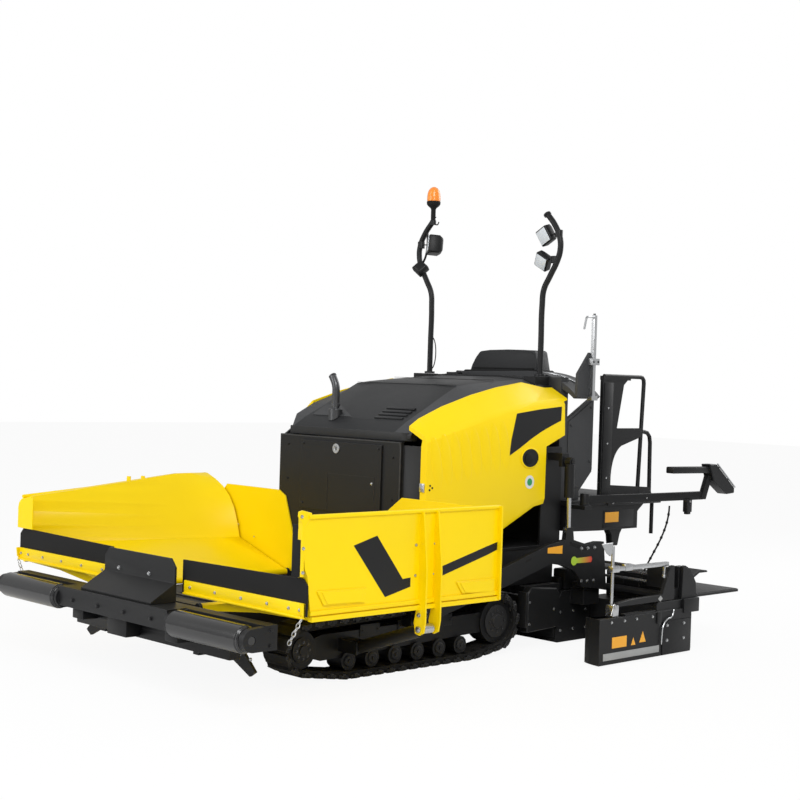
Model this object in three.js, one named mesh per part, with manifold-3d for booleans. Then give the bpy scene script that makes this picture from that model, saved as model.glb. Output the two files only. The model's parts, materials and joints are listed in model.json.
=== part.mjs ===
// A compact tracked asphalt paver with an extending screed.
// Millimetres. +X is the travel direction, +Y the machine's left side, +Z up.
// The origin is on the ground, below the middle of the machine.
import * as THREE from "three";
import { mergeVertices } from "three/addons/utils/BufferGeometryUtils.js";
import Module from "manifold-3d";

const wasm = await Module();
wasm.setup();

// ---- driving dimensions ----

const seatGap = 0.3; // between faces that touch
const pinGap = 0.6; // round a pin or a sliding tube

const track = {
  centreY: 810,
  width: 220,
  idler: { x: 1512, z: 222, radius: 170 },
  sprocket: { x: -326, z: 246, radius: 206 },
  flatFrontX: 1150,
  flatRearX: -60,
  flatCorner: 90,
  thickness: 46,
  shoes: 40,
  shoeGap: 13,
  shoeNotch: 15,
  roundSteps: 24,
};
const rollers = { radius: 64, count: 6, frontX: 1105, pitch: 213, width: 150 };
const chassis = {
  innerY: 500,
  outerY: 560,
  bottomZ: 200,
  topZ: 455,
  frontX: 2085,
  rearX: -700,
  plate: 20,
  tunnelTop: 740,
};
const hopper = {
  backX: 462,
  frontX: 2085,
  lean: 80,
  sideY: 1600,
  bottomZ: 560,
  topZ: 1175,
  faceFootY: 1130,
  frontFootY: 1520,
  faceFootZ: 700,
  blendX: 800,
  hingeY: 530,
  hingeZ: 500,
  hingeRadius: 24,
  lugWidth: 24,
};
const wingTop = {
  left: { frontZ: 1190, corner: 25 },
  right: { frontZ: 1045, corner: 150 },
};
const clevis = { x: 1121, halfGap: 59, plate: 12, pinY: 1615, pinZ: 430, radius: 38 };
const wingCylinder = {
  y: 1000,
  z: 220,
  barrel: 580,
  barrelRadius: 42,
  rodRadius: 22,
  rodStart: 50,
  pinRadius: 16,
  earGap: 46,
  ear: 14,
};
const flap = { thickness: 14, innerY: 400, outerY: 1612, bottomZ: 575, topZ: 805 };
const apron = { halfWidth: 400, topZ: 795, plate: 16 };
const pushBeam = { frontX: 2380, backX: 2150, middleHalf: 620, halfWidth: 1415, bottomZ: 370, topZ: 520 };
const pushRoller = { x: 2338, z: 440, radius: 85, innerY: 665, outerY: 1345, axle: 28 };
const housing = {
  frontX: 432,
  rearX: -1100,
  frontLeft: 628,
  frontRight: 700,
  halfWidth: 815,
  floorZ: 740,
  frontTop: 1535,
  cowlX: -935,
  cowlZ: 1950,
  wall: 20,
};
const lid = {
  thickness: 26,
  ridgeY: 300,
  // x, right edge y, left edge y, edge z, right crease y, left crease y, crease z, ridge z
  sections: [
    [400, -610, 685, 1582, -585, 520, 1600, 1604],
    [300, -675, 685, 1690, -560, 535, 1675, 1677],
    [130, -685, 685, 1772, -540, 540, 1765, 1772],
    [-60, -685, 685, 1835, -540, 540, 1868, 1872],
    [-200, -685, 685, 1875, -540, 540, 1938, 1945],
    [-330, -685, 685, 1905, -540, 540, 1955, 1965],
    [-600, -685, 685, 1955, -540, 540, 1980, 1992],
    [-930, -685, 685, 1955, -540, 540, 2006, 2020],
  ],
};
const stack = { x: 285, y: -244, topZ: 1985, radius: 29 };
const sidePanel = {
  innerY: 820,
  outerY: 880,
  topY: 695,
  rearX: -1085,
  waistX: -829,
  kneeX: -400,
  wall: 26,
  // x, shoulder z, top z
  profile: [
    [428, 1588, 1652],
    [340, 1610, 1705],
    [120, 1666, 1790],
    [-180, 1745, 1878],
    [-450, 1804, 1938],
    [-730, 1846, 1982],
    [-1000, 1868, 1946],
    [-1085, 1872, 1950],
  ],
};
const door = { halfWidth: 440, bottomZ: 990, topZ: 1505, thickness: 14 };
const backPlate = {
  thickness: 15,
  outerY: 1420,
  bottomZ: 500,
  // y, z up the inner edge of each plate
  left: { topZ: 1148, inner: [[530, 720], [527, 1050], [661, 1148]] },
  right: { topZ: 1104, inner: [[499, 560], [485, 726], [610, 1064], [684, 1104]] },
};
const platform = { frontX: -1101, rearX: -2262, halfWidth: 900, topZ: 1090, deck: 40, boxBottom: 845 };
const consoleBox = {
  frontX: -1101,
  rearX: -1190,
  halfWidth: 780,
  topZ: 2050,
  sideX: -1505,
  skin: 36,
  coverFrontX: -1250,
  coverRearX: -1390,
};
const guard = { y: 800, thickness: 30, tube: 17 };
const mast = {
  y: 600,
  x: -1060,
  bowY: 765,
  tipY: 615,
  footZ: 2032,
  topZ: 3300,
  radius: 23.5,
  lamp: 145,
  lampDepth: 70,
};
const beacon = { radius: 60, height: 277 };
const towArm = { x: 550, z: 385, y: 1000, thickness: 42, pin: 24, boss: 72 };
const liftEye = { x: -975, z: 880 };
const liftPivot = { x: -970, z: 1400 };
const liftCylinder = { barrel: 270, barrelRadius: 38, rodRadius: 19, rodLength: 285 };
const screed = { frontX: -1050, rearX: -1450, halfWidth: 850, baseZ: 8, topZ: 400 };
const extension = {
  frontX: -1458,
  rearX: -1742,
  innerY: 800,
  outerY: 1598,
  topZ: 330,
  tubeZ: 420,
  tubeRadius: 28,
  tubeXLeft: -1500,
  tubeXRight: -1572,
  tubeInner: 450,
  bracketY: 1520,
};
const sleeve = { innerY: 600, outerY: 700 };
const endPlate = {
  innerY: extension.outerY + seatGap,
  outerY: 1648,
  frontX: -567,
  noseX: -592,
  noseIn: 110,
  rearX: -1665,
  topZ: 335,
};
const footboard = { frontX: -1740, rearX: -2420, innerY: 860, outerY: 1560, z: 385, thickness: 22 };
const auger = { x: -850, z: 330, radius: 122, shaft: 34, innerY: 50, outerY: 790, turns: 3, blade: 14 };
const panelArm = { x: -1160, y: 1000, endX: -2130, endY: 1440, bottomZ: 1064, topZ: 1140, width: 60 };
const crank = { x: -1275, y: 945, size: 30, bottomZ: 1860, topZ: 2510 };

// ---- finishes ----

const finishes = {
  yellow: { color: 0xf6cf00, roughness: 0.38, metalness: 0.1 },
  black: { color: 0x26282a, roughness: 0.5, metalness: 0.2 },
  grey: { color: 0x4a4c4e, roughness: 0.5, metalness: 0.3 },
  rubber: { color: 0x161616, roughness: 0.85, metalness: 0 },
  steel: { color: 0xb8bbbd, roughness: 0.3, metalness: 0.9 },
  iron: { color: 0x2e2f30, roughness: 0.7, metalness: 0.6 },
  amber: { color: 0xff7a1a, roughness: 0.2, metalness: 0 },
};

// ---- solids ----

// A closed geometry as a manifold solid with its faces outwards.
function toSolid(geometry) {
  const loose = geometry.index ? geometry.toNonIndexed() : geometry;
  const bare = new THREE.BufferGeometry();
  bare.setAttribute("position", loose.getAttribute("position").clone());
  const merged = mergeVertices(bare, 1e-3);
  const triVerts = new Uint32Array(merged.index.array);
  const vertProperties = merged.attributes.position.array;
  const made = new wasm.Manifold(new wasm.Mesh({ numProp: 3, vertProperties, triVerts }));
  if (made.volume() >= 0) return made;
  for (let i = 0; i < triVerts.length; i += 3) {
    [triVerts[i + 1], triVerts[i + 2]] = [triVerts[i + 2], triVerts[i + 1]];
  }
  return new wasm.Manifold(new wasm.Mesh({ numProp: 3, vertProperties, triVerts }));
}

const asSolid = (piece) => (piece.isBufferGeometry ? toSolid(piece) : piece);

const fuse = (...pieces) => pieces.map(asSolid).reduce((all, next) => all.add(next));

const carve = (base, ...cutters) =>
  cutters.map(asSolid).reduce((all, next) => all.subtract(next), asSolid(base));

function toGeometry(solid) {
  const mesh = solid.getMesh();
  const indexed = new THREE.BufferGeometry();
  indexed.setAttribute("position", new THREE.BufferAttribute(new Float32Array(mesh.vertProperties), 3));
  indexed.setIndex(new THREE.BufferAttribute(new Uint32Array(mesh.triVerts), 1));
  const faceted = indexed.toNonIndexed();
  faceted.computeVertexNormals();
  return faceted;
}

function indexedGeometry(places, faces) {
  const made = new THREE.BufferGeometry();
  made.setAttribute("position", new THREE.BufferAttribute(new Float32Array(places), 3));
  made.setIndex(faces);
  return made;
}

function box(x0, x1, y0, y1, z0, z1) {
  const made = new THREE.BoxGeometry(x1 - x0, y1 - y0, z1 - z0);
  return made.translate((x0 + x1) / 2, (y0 + y1) / 2, (z0 + z1) / 2);
}

// The same box on either side of the middle, for a side of 1 or -1.
const sideBox = (x0, x1, y0, y1, z0, z1) => (side) =>
  side > 0 ? box(x0, x1, y0, y1, z0, z1) : box(x0, x1, -y1, -y0, z0, z1);

const across = {
  x: [new THREE.Vector3(0, 1, 0), new THREE.Vector3(0, 0, 1), new THREE.Vector3(1, 0, 0)],
  y: [new THREE.Vector3(1, 0, 0), new THREE.Vector3(0, 0, 1), new THREE.Vector3(0, -1, 0)],
  z: [new THREE.Vector3(1, 0, 0), new THREE.Vector3(0, 1, 0), new THREE.Vector3(0, 0, 1)],
};

// An outline pushed along an axis: (y, z) points for x, (x, z) for y, (x, y) for z.
function prism(axis, outline, from, to) {
  const drawn = outline instanceof THREE.Shape;
  const shape = drawn ? outline : new THREE.Shape(outline.map(([u, v]) => new THREE.Vector2(u, v)));
  const made = new THREE.ExtrudeGeometry(shape, { depth: to - from, bevelEnabled: false, curveSegments: 12 });
  made.applyMatrix4(new THREE.Matrix4().makeBasis(...across[axis]));
  const start = axis === "y" ? to : from;
  return made.translate(...["x", "y", "z"].map((name) => (name === axis ? start : 0)));
}

const point = (x, y, z) => new THREE.Vector3(x, y, z);

// A round bar between two points.
function bar(from, to, radius, sides = 16) {
  const along = to.clone().sub(from);
  const made = new THREE.CylinderGeometry(radius, radius, along.length(), sides);
  const turn = new THREE.Quaternion().setFromUnitVectors(point(0, 1, 0), along.clone().normalize());
  const middle = from.clone().add(to).multiplyScalar(0.5);
  return made.applyQuaternion(turn).translate(middle.x, middle.y, middle.z);
}

const crossBar = (x, z, y0, y1, radius, sides = 16) => bar(point(x, y0, z), point(x, y1, z), radius, sides);

// A flat bar with a rectangular section between two points, upright in z.
function beam(from, to, width, height) {
  const along = to.clone().sub(from);
  const made = new THREE.BoxGeometry(along.length(), width, height);
  const turn = new THREE.Quaternion().setFromUnitVectors(point(1, 0, 0), along.clone().normalize());
  const middle = from.clone().add(to).multiplyScalar(0.5);
  return made.applyQuaternion(turn).translate(middle.x, middle.y, middle.z);
}

// A bent tube through points in one plane, each inner corner rounded by a bend of the given length.
function bentTube(corners, bend, radius, sides = 8) {
  const spine = [corners[0]];
  for (let i = 1; i < corners.length - 1; i += 1) {
    const before = corners[i].clone().sub(corners[i - 1]).normalize().multiplyScalar(bend);
    const after = corners[i + 1].clone().sub(corners[i]).normalize().multiplyScalar(bend);
    const enter = corners[i].clone().sub(before);
    const leave = corners[i].clone().add(after);
    spine.push(...new THREE.QuadraticBezierCurve3(enter, corners[i], leave).getPoints(3));
  }
  spine.push(corners[corners.length - 1]);
  const normal = corners[1].clone().sub(corners[0]).cross(corners[2].clone().sub(corners[1])).normalize();
  const places = [];
  spine.forEach((centre, i) => {
    const ahead = spine[Math.min(i + 1, spine.length - 1)];
    const behind = spine[Math.max(i - 1, 0)];
    const side = ahead.clone().sub(behind).normalize().cross(normal);
    for (let k = 0; k < sides; k += 1) {
      const angle = ((k + 0.5) * 2 * Math.PI) / sides;
      const offset = side.clone().multiplyScalar(radius * Math.cos(angle));
      offset.addScaledVector(normal, radius * Math.sin(angle));
      places.push(...centre.clone().add(offset).toArray());
    }
  });
  const faces = [];
  for (let s = 0; s < spine.length - 1; s += 1) {
    for (let k = 0; k < sides; k += 1) {
      const a = s * sides + k;
      const b = s * sides + ((k + 1) % sides);
      faces.push(a, b, b + sides, a, b + sides, a + sides);
    }
  }
  const last = (spine.length - 1) * sides;
  for (let k = 1; k < sides - 1; k += 1) faces.push(0, k + 1, k, last, last + k, last + k + 1);
  return indexedGeometry(places, faces);
}

// A skin over rings of [y, z] points that stand at rising or falling x, closed at both ends.
function loft(stations) {
  const count = stations[0].ring.length;
  const places = [];
  stations.forEach(({ x, ring }) => ring.forEach(([y, z]) => places.push(x, y, z)));
  const faces = [];
  for (let s = 0; s < stations.length - 1; s += 1) {
    for (let i = 0; i < count; i += 1) {
      const a = s * count + i;
      const b = s * count + ((i + 1) % count);
      faces.push(a, b, b + count, a, b + count, a + count);
    }
  }
  const ends = [
    [0, false],
    [stations.length - 1, true],
  ];
  ends.forEach(([s, turned]) => {
    const flat = stations[s].ring.map(([y, z]) => new THREE.Vector2(y, z));
    const clockwise = THREE.ShapeUtils.isClockWise(flat);
    THREE.ShapeUtils.triangulateShape(flat, []).forEach(([a, b, c]) => {
      const base = s * count;
      if (turned === clockwise) faces.push(base + a, base + c, base + b);
      else faces.push(base + a, base + b, base + c);
    });
  });
  return indexedGeometry(places, faces);
}

const mix = (a, b, t) => a + (b - a) * t;

// ---- assembly ----

const group = new THREE.Group();
const rightSide = new THREE.Group();
rightSide.scale.y = -1;
group.add(rightSide);

function put(name, solid, finish, parent = group) {
  const material = new THREE.MeshStandardMaterial(finishes[finish]);
  const mesh = new THREE.Mesh(toGeometry(solid), material);
  mesh.name = name;
  parent.add(mesh);
}

function putPair(name, solid, finish) {
  put(`${name}_left`, solid, finish);
  put(`${name}_right`, solid, finish, rightSide);
}

// ---- tracks ----

// The loop's side outline, pulled in by an amount: two wheels and two ground corners.
function trackPath(inset) {
  const corner = track.flatCorner;
  const rounds = [
    { x: track.idler.x, z: track.idler.z, radius: track.idler.radius },
    { x: track.sprocket.x, z: track.sprocket.z, radius: track.sprocket.radius },
    { x: track.flatFrontX, z: corner, radius: corner },
    { x: track.flatRearX, z: corner, radius: corner },
  ];
  const places = [];
  rounds.forEach(({ x, z, radius }) => {
    for (let i = 0; i < track.roundSteps; i += 1) {
      const angle = (i * 2 * Math.PI) / track.roundSteps;
      places.push([x + (radius - inset) * Math.cos(angle), z + (radius - inset) * Math.sin(angle)]);
    }
  });
  places.sort((a, b) => a[0] - b[0] || a[1] - b[1]);
  const turn = (o, a, b) => (a[0] - o[0]) * (b[1] - o[1]) - (a[1] - o[1]) * (b[0] - o[0]);
  const half = (points) => {
    const chain = [];
    const bendsIn = (next) => turn(...chain.slice(-2), next) <= 1e-6;
    points.forEach((next) => {
      while (chain.length > 1 && bendsIn(next)) chain.pop();
      chain.push(next);
    });
    chain.pop();
    return chain;
  };
  return [...half(places), ...half([...places].reverse())];
}

function trackLoop() {
  const path = new THREE.Shape(trackPath(0).map(([x, z]) => new THREE.Vector2(x, z)));
  path.closePath();
  const gapShare = track.shoeGap / path.getLength();
  const centre = new THREE.Vector2(track.flatFrontX / 2, track.idler.z);
  const notchPoint = (share) => {
    const place = path.getPoint(share);
    const tangent = path.getTangent(share);
    const inward = new THREE.Vector2(-tangent.y, tangent.x);
    if (inward.dot(centre.clone().sub(place)) < 0) inward.negate();
    return place.add(inward.multiplyScalar(track.shoeNotch));
  };
  const outline = [];
  for (let i = 0; i < track.shoes; i += 1) {
    const start = i / track.shoes;
    const next = (i + 1) / track.shoes;
    const end = next - gapShare;
    outline.push(path.getPoint(start), path.getPoint(end));
    outline.push(notchPoint(end), notchPoint(next - 1e-4));
  }
  const shape = new THREE.Shape(outline);
  shape.holes.push(new THREE.Path(trackPath(track.thickness).map(([x, z]) => new THREE.Vector2(x, z))));
  return prism("y", shape, track.centreY - track.width / 2, track.centreY + track.width / 2);
}

function trackFrame() {
  const facet = Math.cos(Math.PI / track.roundSteps);
  const wheelRadius = (wheel) => (wheel.radius - track.thickness) * facet - seatGap;
  const middle = track.centreY;
  const halfRoller = rollers.width / 2;
  const rollerZ = track.thickness + rollers.radius + seatGap;
  const wheels = [track.idler, track.sprocket].map((wheel) =>
    crossBar(wheel.x, wheel.z, middle - 70, middle + 72, wheelRadius(wheel), track.roundSteps),
  );
  const rollerSet = [];
  for (let i = 0; i < rollers.count; i += 1) {
    const x = rollers.frontX - i * rollers.pitch;
    rollerSet.push(crossBar(x, rollerZ, middle - halfRoller, middle + halfRoller, rollers.radius, 12));
  }
  const side = [
    [-200, 175],
    [1330, 130],
    [1500, 190],
    [1500, 250],
    [1330, 300],
    [-200, 315],
  ];
  const towBracket = box(490, 610, middle, towArm.y - 26, 292, 358);
  const towPlate = box(480, 620, towArm.y - 60, towArm.y - 26, 292, 455);
  const towPin = crossBar(towArm.x, towArm.z, towArm.y - 40, towArm.y + 34, towArm.pin);
  const { pinRadius, earGap, ear, y: ramY, z: ramZ } = wingCylinder;
  const earReach = earGap + ear;
  const ramBracket = box(clevis.x - earReach, clevis.x + earReach, middle, 956, 180, 262);
  const ramEars = [-earReach, earGap].map((x) => box(clevis.x + x, clevis.x + x + ear, 940, 1040, 180, 262));
  const ramPin = bar(
    point(clevis.x - earReach, ramY, ramZ),
    point(clevis.x + earReach, ramY, ramZ),
    pinRadius,
  );
  return fuse(
    prism("y", side, middle - 50, middle + 50),
    ...wheels,
    ...rollerSet,
    box(180, 300, chassis.outerY + seatGap, middle, 225, 310),
    box(1020, 1140, chassis.outerY + seatGap, middle, 225, 300),
    towBracket,
    towPlate,
    towPin,
    ramBracket,
    ...ramEars,
    ramPin,
  );
}

putPair("track", asSolid(trackLoop()), "rubber");
putPair("track_frame", trackFrame(), "black");

// ---- chassis ----

function wingLug(x) {
  const { hingeY, hingeZ, lugWidth } = hopper;
  return fuse(
    box(x, x + lugWidth, hingeY - 26, hingeY + 26, chassis.topZ - 20, hingeZ),
    bar(point(x, hingeY, hingeZ), point(x + lugWidth, hingeY, hingeZ), 26),
  );
}

function chassisSide() {
  const { frontX, rearX, bottomZ, topZ, tunnelTop } = chassis;
  const outline = [
    [rearX, bottomZ],
    [frontX, bottomZ],
    [frontX, topZ],
    [housing.frontX - 6, topZ],
    [housing.frontX - 6, tunnelTop - seatGap],
    [rearX, tunnelTop - seatGap],
  ];
  return fuse(
    prism("y", outline, chassis.innerY, chassis.outerY),
    wingLug(hopper.backX),
    wingLug(hopper.frontX - hopper.lugWidth),
    mudPlate(),
    deflector(),
    rearLeg(),
  );
}

// The upright plate behind each track that keeps the mix in front of the screed.
function mudPlate() {
  return fuse(box(-1040, -640, 822, 880, 140, 470), box(-700, -640, chassis.outerY - 5, 830, 300, 400));
}

// The pointed plate in front of each track.
function deflector() {
  const outline = [
    [chassis.innerY, 215],
    [chassis.innerY, 330],
    [745, 330],
    [955, 140],
    [900, 105],
    [700, 200],
  ];
  return prism("x", outline, 1925, 1945);
}

// The rear leg that carries the platform, behind the engine housing.
function rearLeg() {
  const { rearX, innerY, outerY, tunnelTop } = chassis;
  const backX = housing.rearX - 4;
  const deckZ = platform.topZ - platform.deck - seatGap;
  const outline = [
    [rearX + 60, 540],
    [rearX + 60, tunnelTop - seatGap],
    [backX, tunnelTop - seatGap],
    [backX, deckZ],
    [-1560, deckZ],
    [-1560, 1000],
    [-1250, 940],
    [-1200, 705],
    [-1020, 690],
    [rearX, 600],
    [rearX, 540],
  ];
  return prism("y", outline, innerY, outerY);
}

function mainFrame() {
  const { innerY, frontX, rearX, bottomZ, plate } = chassis;
  const left = chassisSide();
  const right = asSolid(toGeometry(left).scale(1, -1, 1));
  return fuse(
    left,
    right,
    box(rearX + 10, 1930, -innerY - 5, innerY + 5, bottomZ, bottomZ + plate),
    box(1900, 1960, -740, 740, bottomZ, 400),
    box(frontX - 30, pushBeam.backX - seatGap, -560, 560, 300, 392),
    box(rearX, rearX + 60, -innerY - 5, innerY + 5, bottomZ, 390),
    box(auger.x - 60, rearX + 10, -auger.innerY + 2, auger.innerY - 2, 240, 430),
  );
}

put("main_frame", mainFrame(), "black");

function conveyorFloor() {
  const halfWidth = chassis.innerY - seatGap;
  const slats = [];
  for (let x = -600; x <= 2000; x += 200) {
    slats.push(box(x, x + 30, -halfWidth + 60, halfWidth - 60, 425, 447));
  }
  const rail = (side) => {
    const outline = [
      [side * halfWidth, 400],
      [side * halfWidth, 470],
      [side * (halfWidth - 20), 470],
      [side * (halfWidth - 110), 440],
      [side * (halfWidth - 110), 400],
    ];
    return prism("x", outline, -690, 2070);
  };
  return fuse(box(-690, 2070, -halfWidth, halfWidth, 400, 430), ...slats, rail(1), rail(-1));
}

put("conveyor_floor", conveyorFloor(), "iron");
put("engine_block", asSolid(box(-760, 150, -360, 360, housing.floorZ + housing.wall + seatGap, 1420)), "iron");

// ---- hopper ----

// The wing's section: the sloping floor, the tall inner face and the upright outer side.
function wingSection(bulge, footY) {
  const { sideY, bottomZ, topZ, faceFootY, faceFootZ, hingeY } = hopper;
  const face = [];
  const steps = 6;
  for (let i = 0; i <= steps; i += 1) {
    const share = i / steps;
    const swell = bulge * Math.sin(Math.PI * share);
    const y = mix(footY, sideY - 26, share) - swell * 0.7;
    face.push([y, mix(faceFootZ, topZ, share) + swell * 0.7]);
  }
  return [
    [hingeY + 31, 480],
    [hingeY + 31, 512],
    ...face,
    [sideY, topZ],
    [sideY, bottomZ],
    [faceFootY, 545],
  ];
}

// The wing's front edge leans forward as it rises, and steps forward above the rubber flap.
const wingStep = { lowZ: 820, highZ: 860, reach: 22 };
const wingFrontAt = (z) => {
  const share = (z - hopper.bottomZ) / (hopper.topZ - hopper.bottomZ);
  const step = z > wingStep.lowZ ? wingStep.reach : 0;
  return hopper.frontX - 20 + share * hopper.lean + step * (1 - 0.5 * share);
};

function wingEnvelope({ frontZ, corner }) {
  const { backX, frontX, bottomZ, topZ } = hopper;
  const shape = new THREE.Shape();
  shape.moveTo(backX, bottomZ - 150);
  shape.lineTo(frontX - 20, bottomZ - 150);
  shape.lineTo(frontX - 20, bottomZ);
  shape.lineTo(wingFrontAt(wingStep.lowZ), wingStep.lowZ);
  shape.lineTo(wingFrontAt(wingStep.highZ), wingStep.highZ);
  shape.lineTo(wingFrontAt(frontZ - corner), frontZ - corner);
  shape.quadraticCurveTo(wingFrontAt(frontZ), frontZ, wingFrontAt(frontZ) - corner, frontZ);
  shape.lineTo(backX + 300, topZ);
  shape.lineTo(backX, topZ);
  return prism("y", shape, 400, 1800);
}

function clevisPlate(x) {
  const outline = [
    [1590, 1160],
    [1628, 1160],
    [1668, 800],
    [1668, 480],
    [1655, 410],
    [1620, 392],
    [1585, 400],
    [1570, 470],
    [1590, 560],
  ];
  return prism("x", outline, x, x + clevis.plate);
}

function wing(top) {
  const { backX, frontX, sideY, topZ, bottomZ, blendX, faceFootY, frontFootY } = hopper;
  const { hingeY, hingeZ, hingeRadius, lugWidth } = hopper;
  const raised = Math.max(top.frontZ, topZ) + 10;
  const body = loft([
    { x: backX, ring: wingSection(110, faceFootY) },
    { x: mix(backX, blendX, 0.5), ring: wingSection(38, faceFootY + 50) },
    { x: blendX, ring: wingSection(0, faceFootY + 110) },
    { x: frontX + 120, ring: wingSection(0, frontFootY) },
  ]);
  const trimmed = asSolid(body).intersect(asSolid(wingEnvelope(top)));
  const hinge = bar(
    point(backX + lugWidth + seatGap, hingeY, hingeZ),
    point(frontX - lugWidth - seatGap, hingeY, hingeZ),
    hingeRadius,
  );
  const leafEnds = [backX + lugWidth + seatGap, frontX - lugWidth - seatGap];
  const hingeLeaf = box(...leafEnds, hingeY, hingeY + 40, hingeZ - 12, hingeZ + 8);
  const rails = [
    box(backX, frontX - 10, sideY - 12, sideY + 22, bottomZ - 6, bottomZ + 22),
    box(backX, frontX - 6, sideY - 12, sideY + 14, bottomZ + 30, bottomZ + 56),
    box(backX, backX + 14, sideY - 10, sideY + 34, bottomZ, topZ - 4),
  ];
  const rollEdge = bar(
    point(backX, sideY, topZ - 12),
    point(frontX + 20, sideY, Math.min(topZ, top.frontZ) - 12),
    14,
    12,
  );
  return fuse(
    trimmed,
    hinge,
    hingeLeaf,
    ...rails,
    rollEdge,
    clevisPlate(clevis.x - clevis.halfGap - clevis.plate),
    clevisPlate(clevis.x + clevis.halfGap),
  ).subtract(asSolid(box(backX, frontX + 200, 400, 1800, raised, raised + 300)));
}

put("hopper_wing_left", wing(wingTop.left), "yellow");
put("hopper_wing_right", wing(wingTop.right), "yellow", rightSide);

const flapX = wingFrontAt(flap.topZ) + seatGap;

function frontFlap() {
  const outline = [
    [flap.innerY, flap.bottomZ],
    [flap.outerY, flap.bottomZ + 10],
    [flap.outerY, flap.topZ - 40],
    [flap.outerY - 40, flap.topZ],
    [flap.innerY, flap.topZ - 15],
  ];
  return asSolid(prism("x", outline, flapX, flapX + flap.thickness));
}

putPair("front_flap", frontFlap(), "rubber");

function backPlateSolid({ inner, topZ }) {
  const { outerY, bottomZ, thickness } = backPlate;
  const outline = [
    [inner[0][0], bottomZ],
    ...inner,
    [outerY - 90, topZ],
    [outerY, topZ - 90],
    [outerY, bottomZ + 90],
    [outerY - 60, bottomZ],
    [towArm.y + 50, bottomZ],
    [towArm.y + 50, bottomZ + 60],
    [towArm.y - 50, bottomZ + 60],
    [towArm.y - 50, bottomZ],
  ];
  const x = housing.frontX + seatGap;
  return asSolid(prism("x", outline, x, x + thickness));
}

put("hopper_back_left", backPlateSolid(backPlate.left), "yellow");
put("hopper_back_right", backPlateSolid(backPlate.right), "yellow", rightSide);

// The steel plate and sloping apron between the two wings, above the push beam.
function centreApron() {
  const { halfWidth, topZ, plate } = apron;
  const backX = pushBeam.backX + 4;
  const footZ = pushBeam.topZ + seatGap;
  const outline = [
    [backX, footZ],
    [backX, topZ],
    [backX + plate, topZ],
    [backX + plate, 640],
    [pushBeam.frontX - 30, footZ + 14],
    [pushBeam.frontX - 30, footZ],
  ];
  const wedge = prism("y", outline, -halfWidth, halfWidth);
  const face = [
    [-halfWidth, 400],
    [halfWidth, 400],
    [halfWidth, topZ - 55],
    [halfWidth - 50, topZ],
    [50 - halfWidth, topZ],
    [-halfWidth, topZ - 55],
  ];
  const trim = prism("x", face, housing.frontX, pushBeam.frontX + 70);
  return asSolid(wedge).intersect(asSolid(trim));
}

put("centre_apron", centreApron(), "black");

// ---- push rollers ----

function pushBeamSolid() {
  const { frontX, backX, middleHalf, halfWidth, bottomZ, topZ } = pushBeam;
  const rollerBack = pushRoller.x - pushRoller.radius - 12;
  const cheeks = [];
  const cheekPlaces = [
    [pushRoller.innerY - 46, pushRoller.innerY - 20],
    [pushRoller.outerY + 20, pushRoller.outerY + 62],
  ];
  const cheekShape = new THREE.Shape();
  cheekShape.moveTo(backX, bottomZ);
  cheekShape.lineTo(pushRoller.x, bottomZ);
  cheekShape.absarc(pushRoller.x, pushRoller.z, 68, -Math.PI / 2, Math.PI / 2, false);
  cheekShape.lineTo(backX, topZ);
  const holeRadius = pushRoller.axle + pinGap;
  const axleHole = crossBar(pushRoller.x, pushRoller.z, -halfWidth - 10, halfWidth + 10, holeRadius, 24);
  cheekPlaces.forEach(([inner, outer]) => {
    cheeks.push(prism("y", cheekShape, inner, outer), prism("y", cheekShape, -outer, -inner));
  });
  const drilled = fuse(...cheeks).subtract(asSolid(axleHole));
  return fuse(
    box(backX, frontX, -middleHalf, middleHalf, bottomZ + 20, topZ),
    box(backX, rollerBack, -halfWidth + 8, halfWidth - 8, bottomZ + 10, topZ),
    drilled,
  );
}

put("push_beam", pushBeamSolid(), "black");

function pushRollerSolid() {
  const { innerY, outerY, radius, axle, x, z } = pushRoller;
  const profile = [
    [0, innerY - 44],
    [axle, innerY - 44],
    [axle, innerY - 14],
    [radius - 16, innerY - 14],
    [radius, innerY + 4],
    [radius, outerY - 4],
    [radius - 16, outerY + 14],
    [axle, outerY + 14],
    [axle, outerY + 58],
    [0, outerY + 58],
  ];
  const made = new THREE.LatheGeometry(profile.map(([r, y]) => new THREE.Vector2(r, y)), 24);
  return asSolid(made.translate(x, 0, z));
}

putPair("push_roller", pushRollerSolid(), "black");

// ---- wing cylinders ----

const ramAngle = Math.atan2(clevis.pinZ - wingCylinder.z, clevis.pinY - wingCylinder.y);
const ramPoint = (share) =>
  point(clevis.x, wingCylinder.y + share * Math.cos(ramAngle), wingCylinder.z + share * Math.sin(ramAngle));
const ramLength = Math.hypot(clevis.pinZ - wingCylinder.z, clevis.pinY - wingCylinder.y);

function wingBarrel() {
  const { y, z, barrel, barrelRadius, rodRadius, rodStart, pinRadius } = wingCylinder;
  const eye = bar(point(clevis.x - 28, y, z), point(clevis.x + 28, y, z), 34);
  const pinHole = bar(point(clevis.x - 40, y, z), point(clevis.x + 40, y, z), pinRadius + pinGap);
  const body = bar(ramPoint(24), ramPoint(barrel), barrelRadius, 20);
  const bore = bar(ramPoint(rodStart - 8), ramPoint(barrel + 5), rodRadius + pinGap);
  return carve(fuse(eye, body), bore, pinHole);
}

function wingRod() {
  const { rodRadius, rodStart } = wingCylinder;
  const centre = ramPoint(ramLength);
  const eye = bar(point(clevis.x - 40, centre.y, centre.z), point(clevis.x + 40, centre.y, centre.z), 30);
  return fuse(bar(ramPoint(rodStart), ramPoint(ramLength), rodRadius), eye);
}

putPair("wing_cylinder", wingBarrel(), "black");
putPair("wing_rod", wingRod(), "steel");

// ---- engine housing, hood and side panels ----

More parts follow.
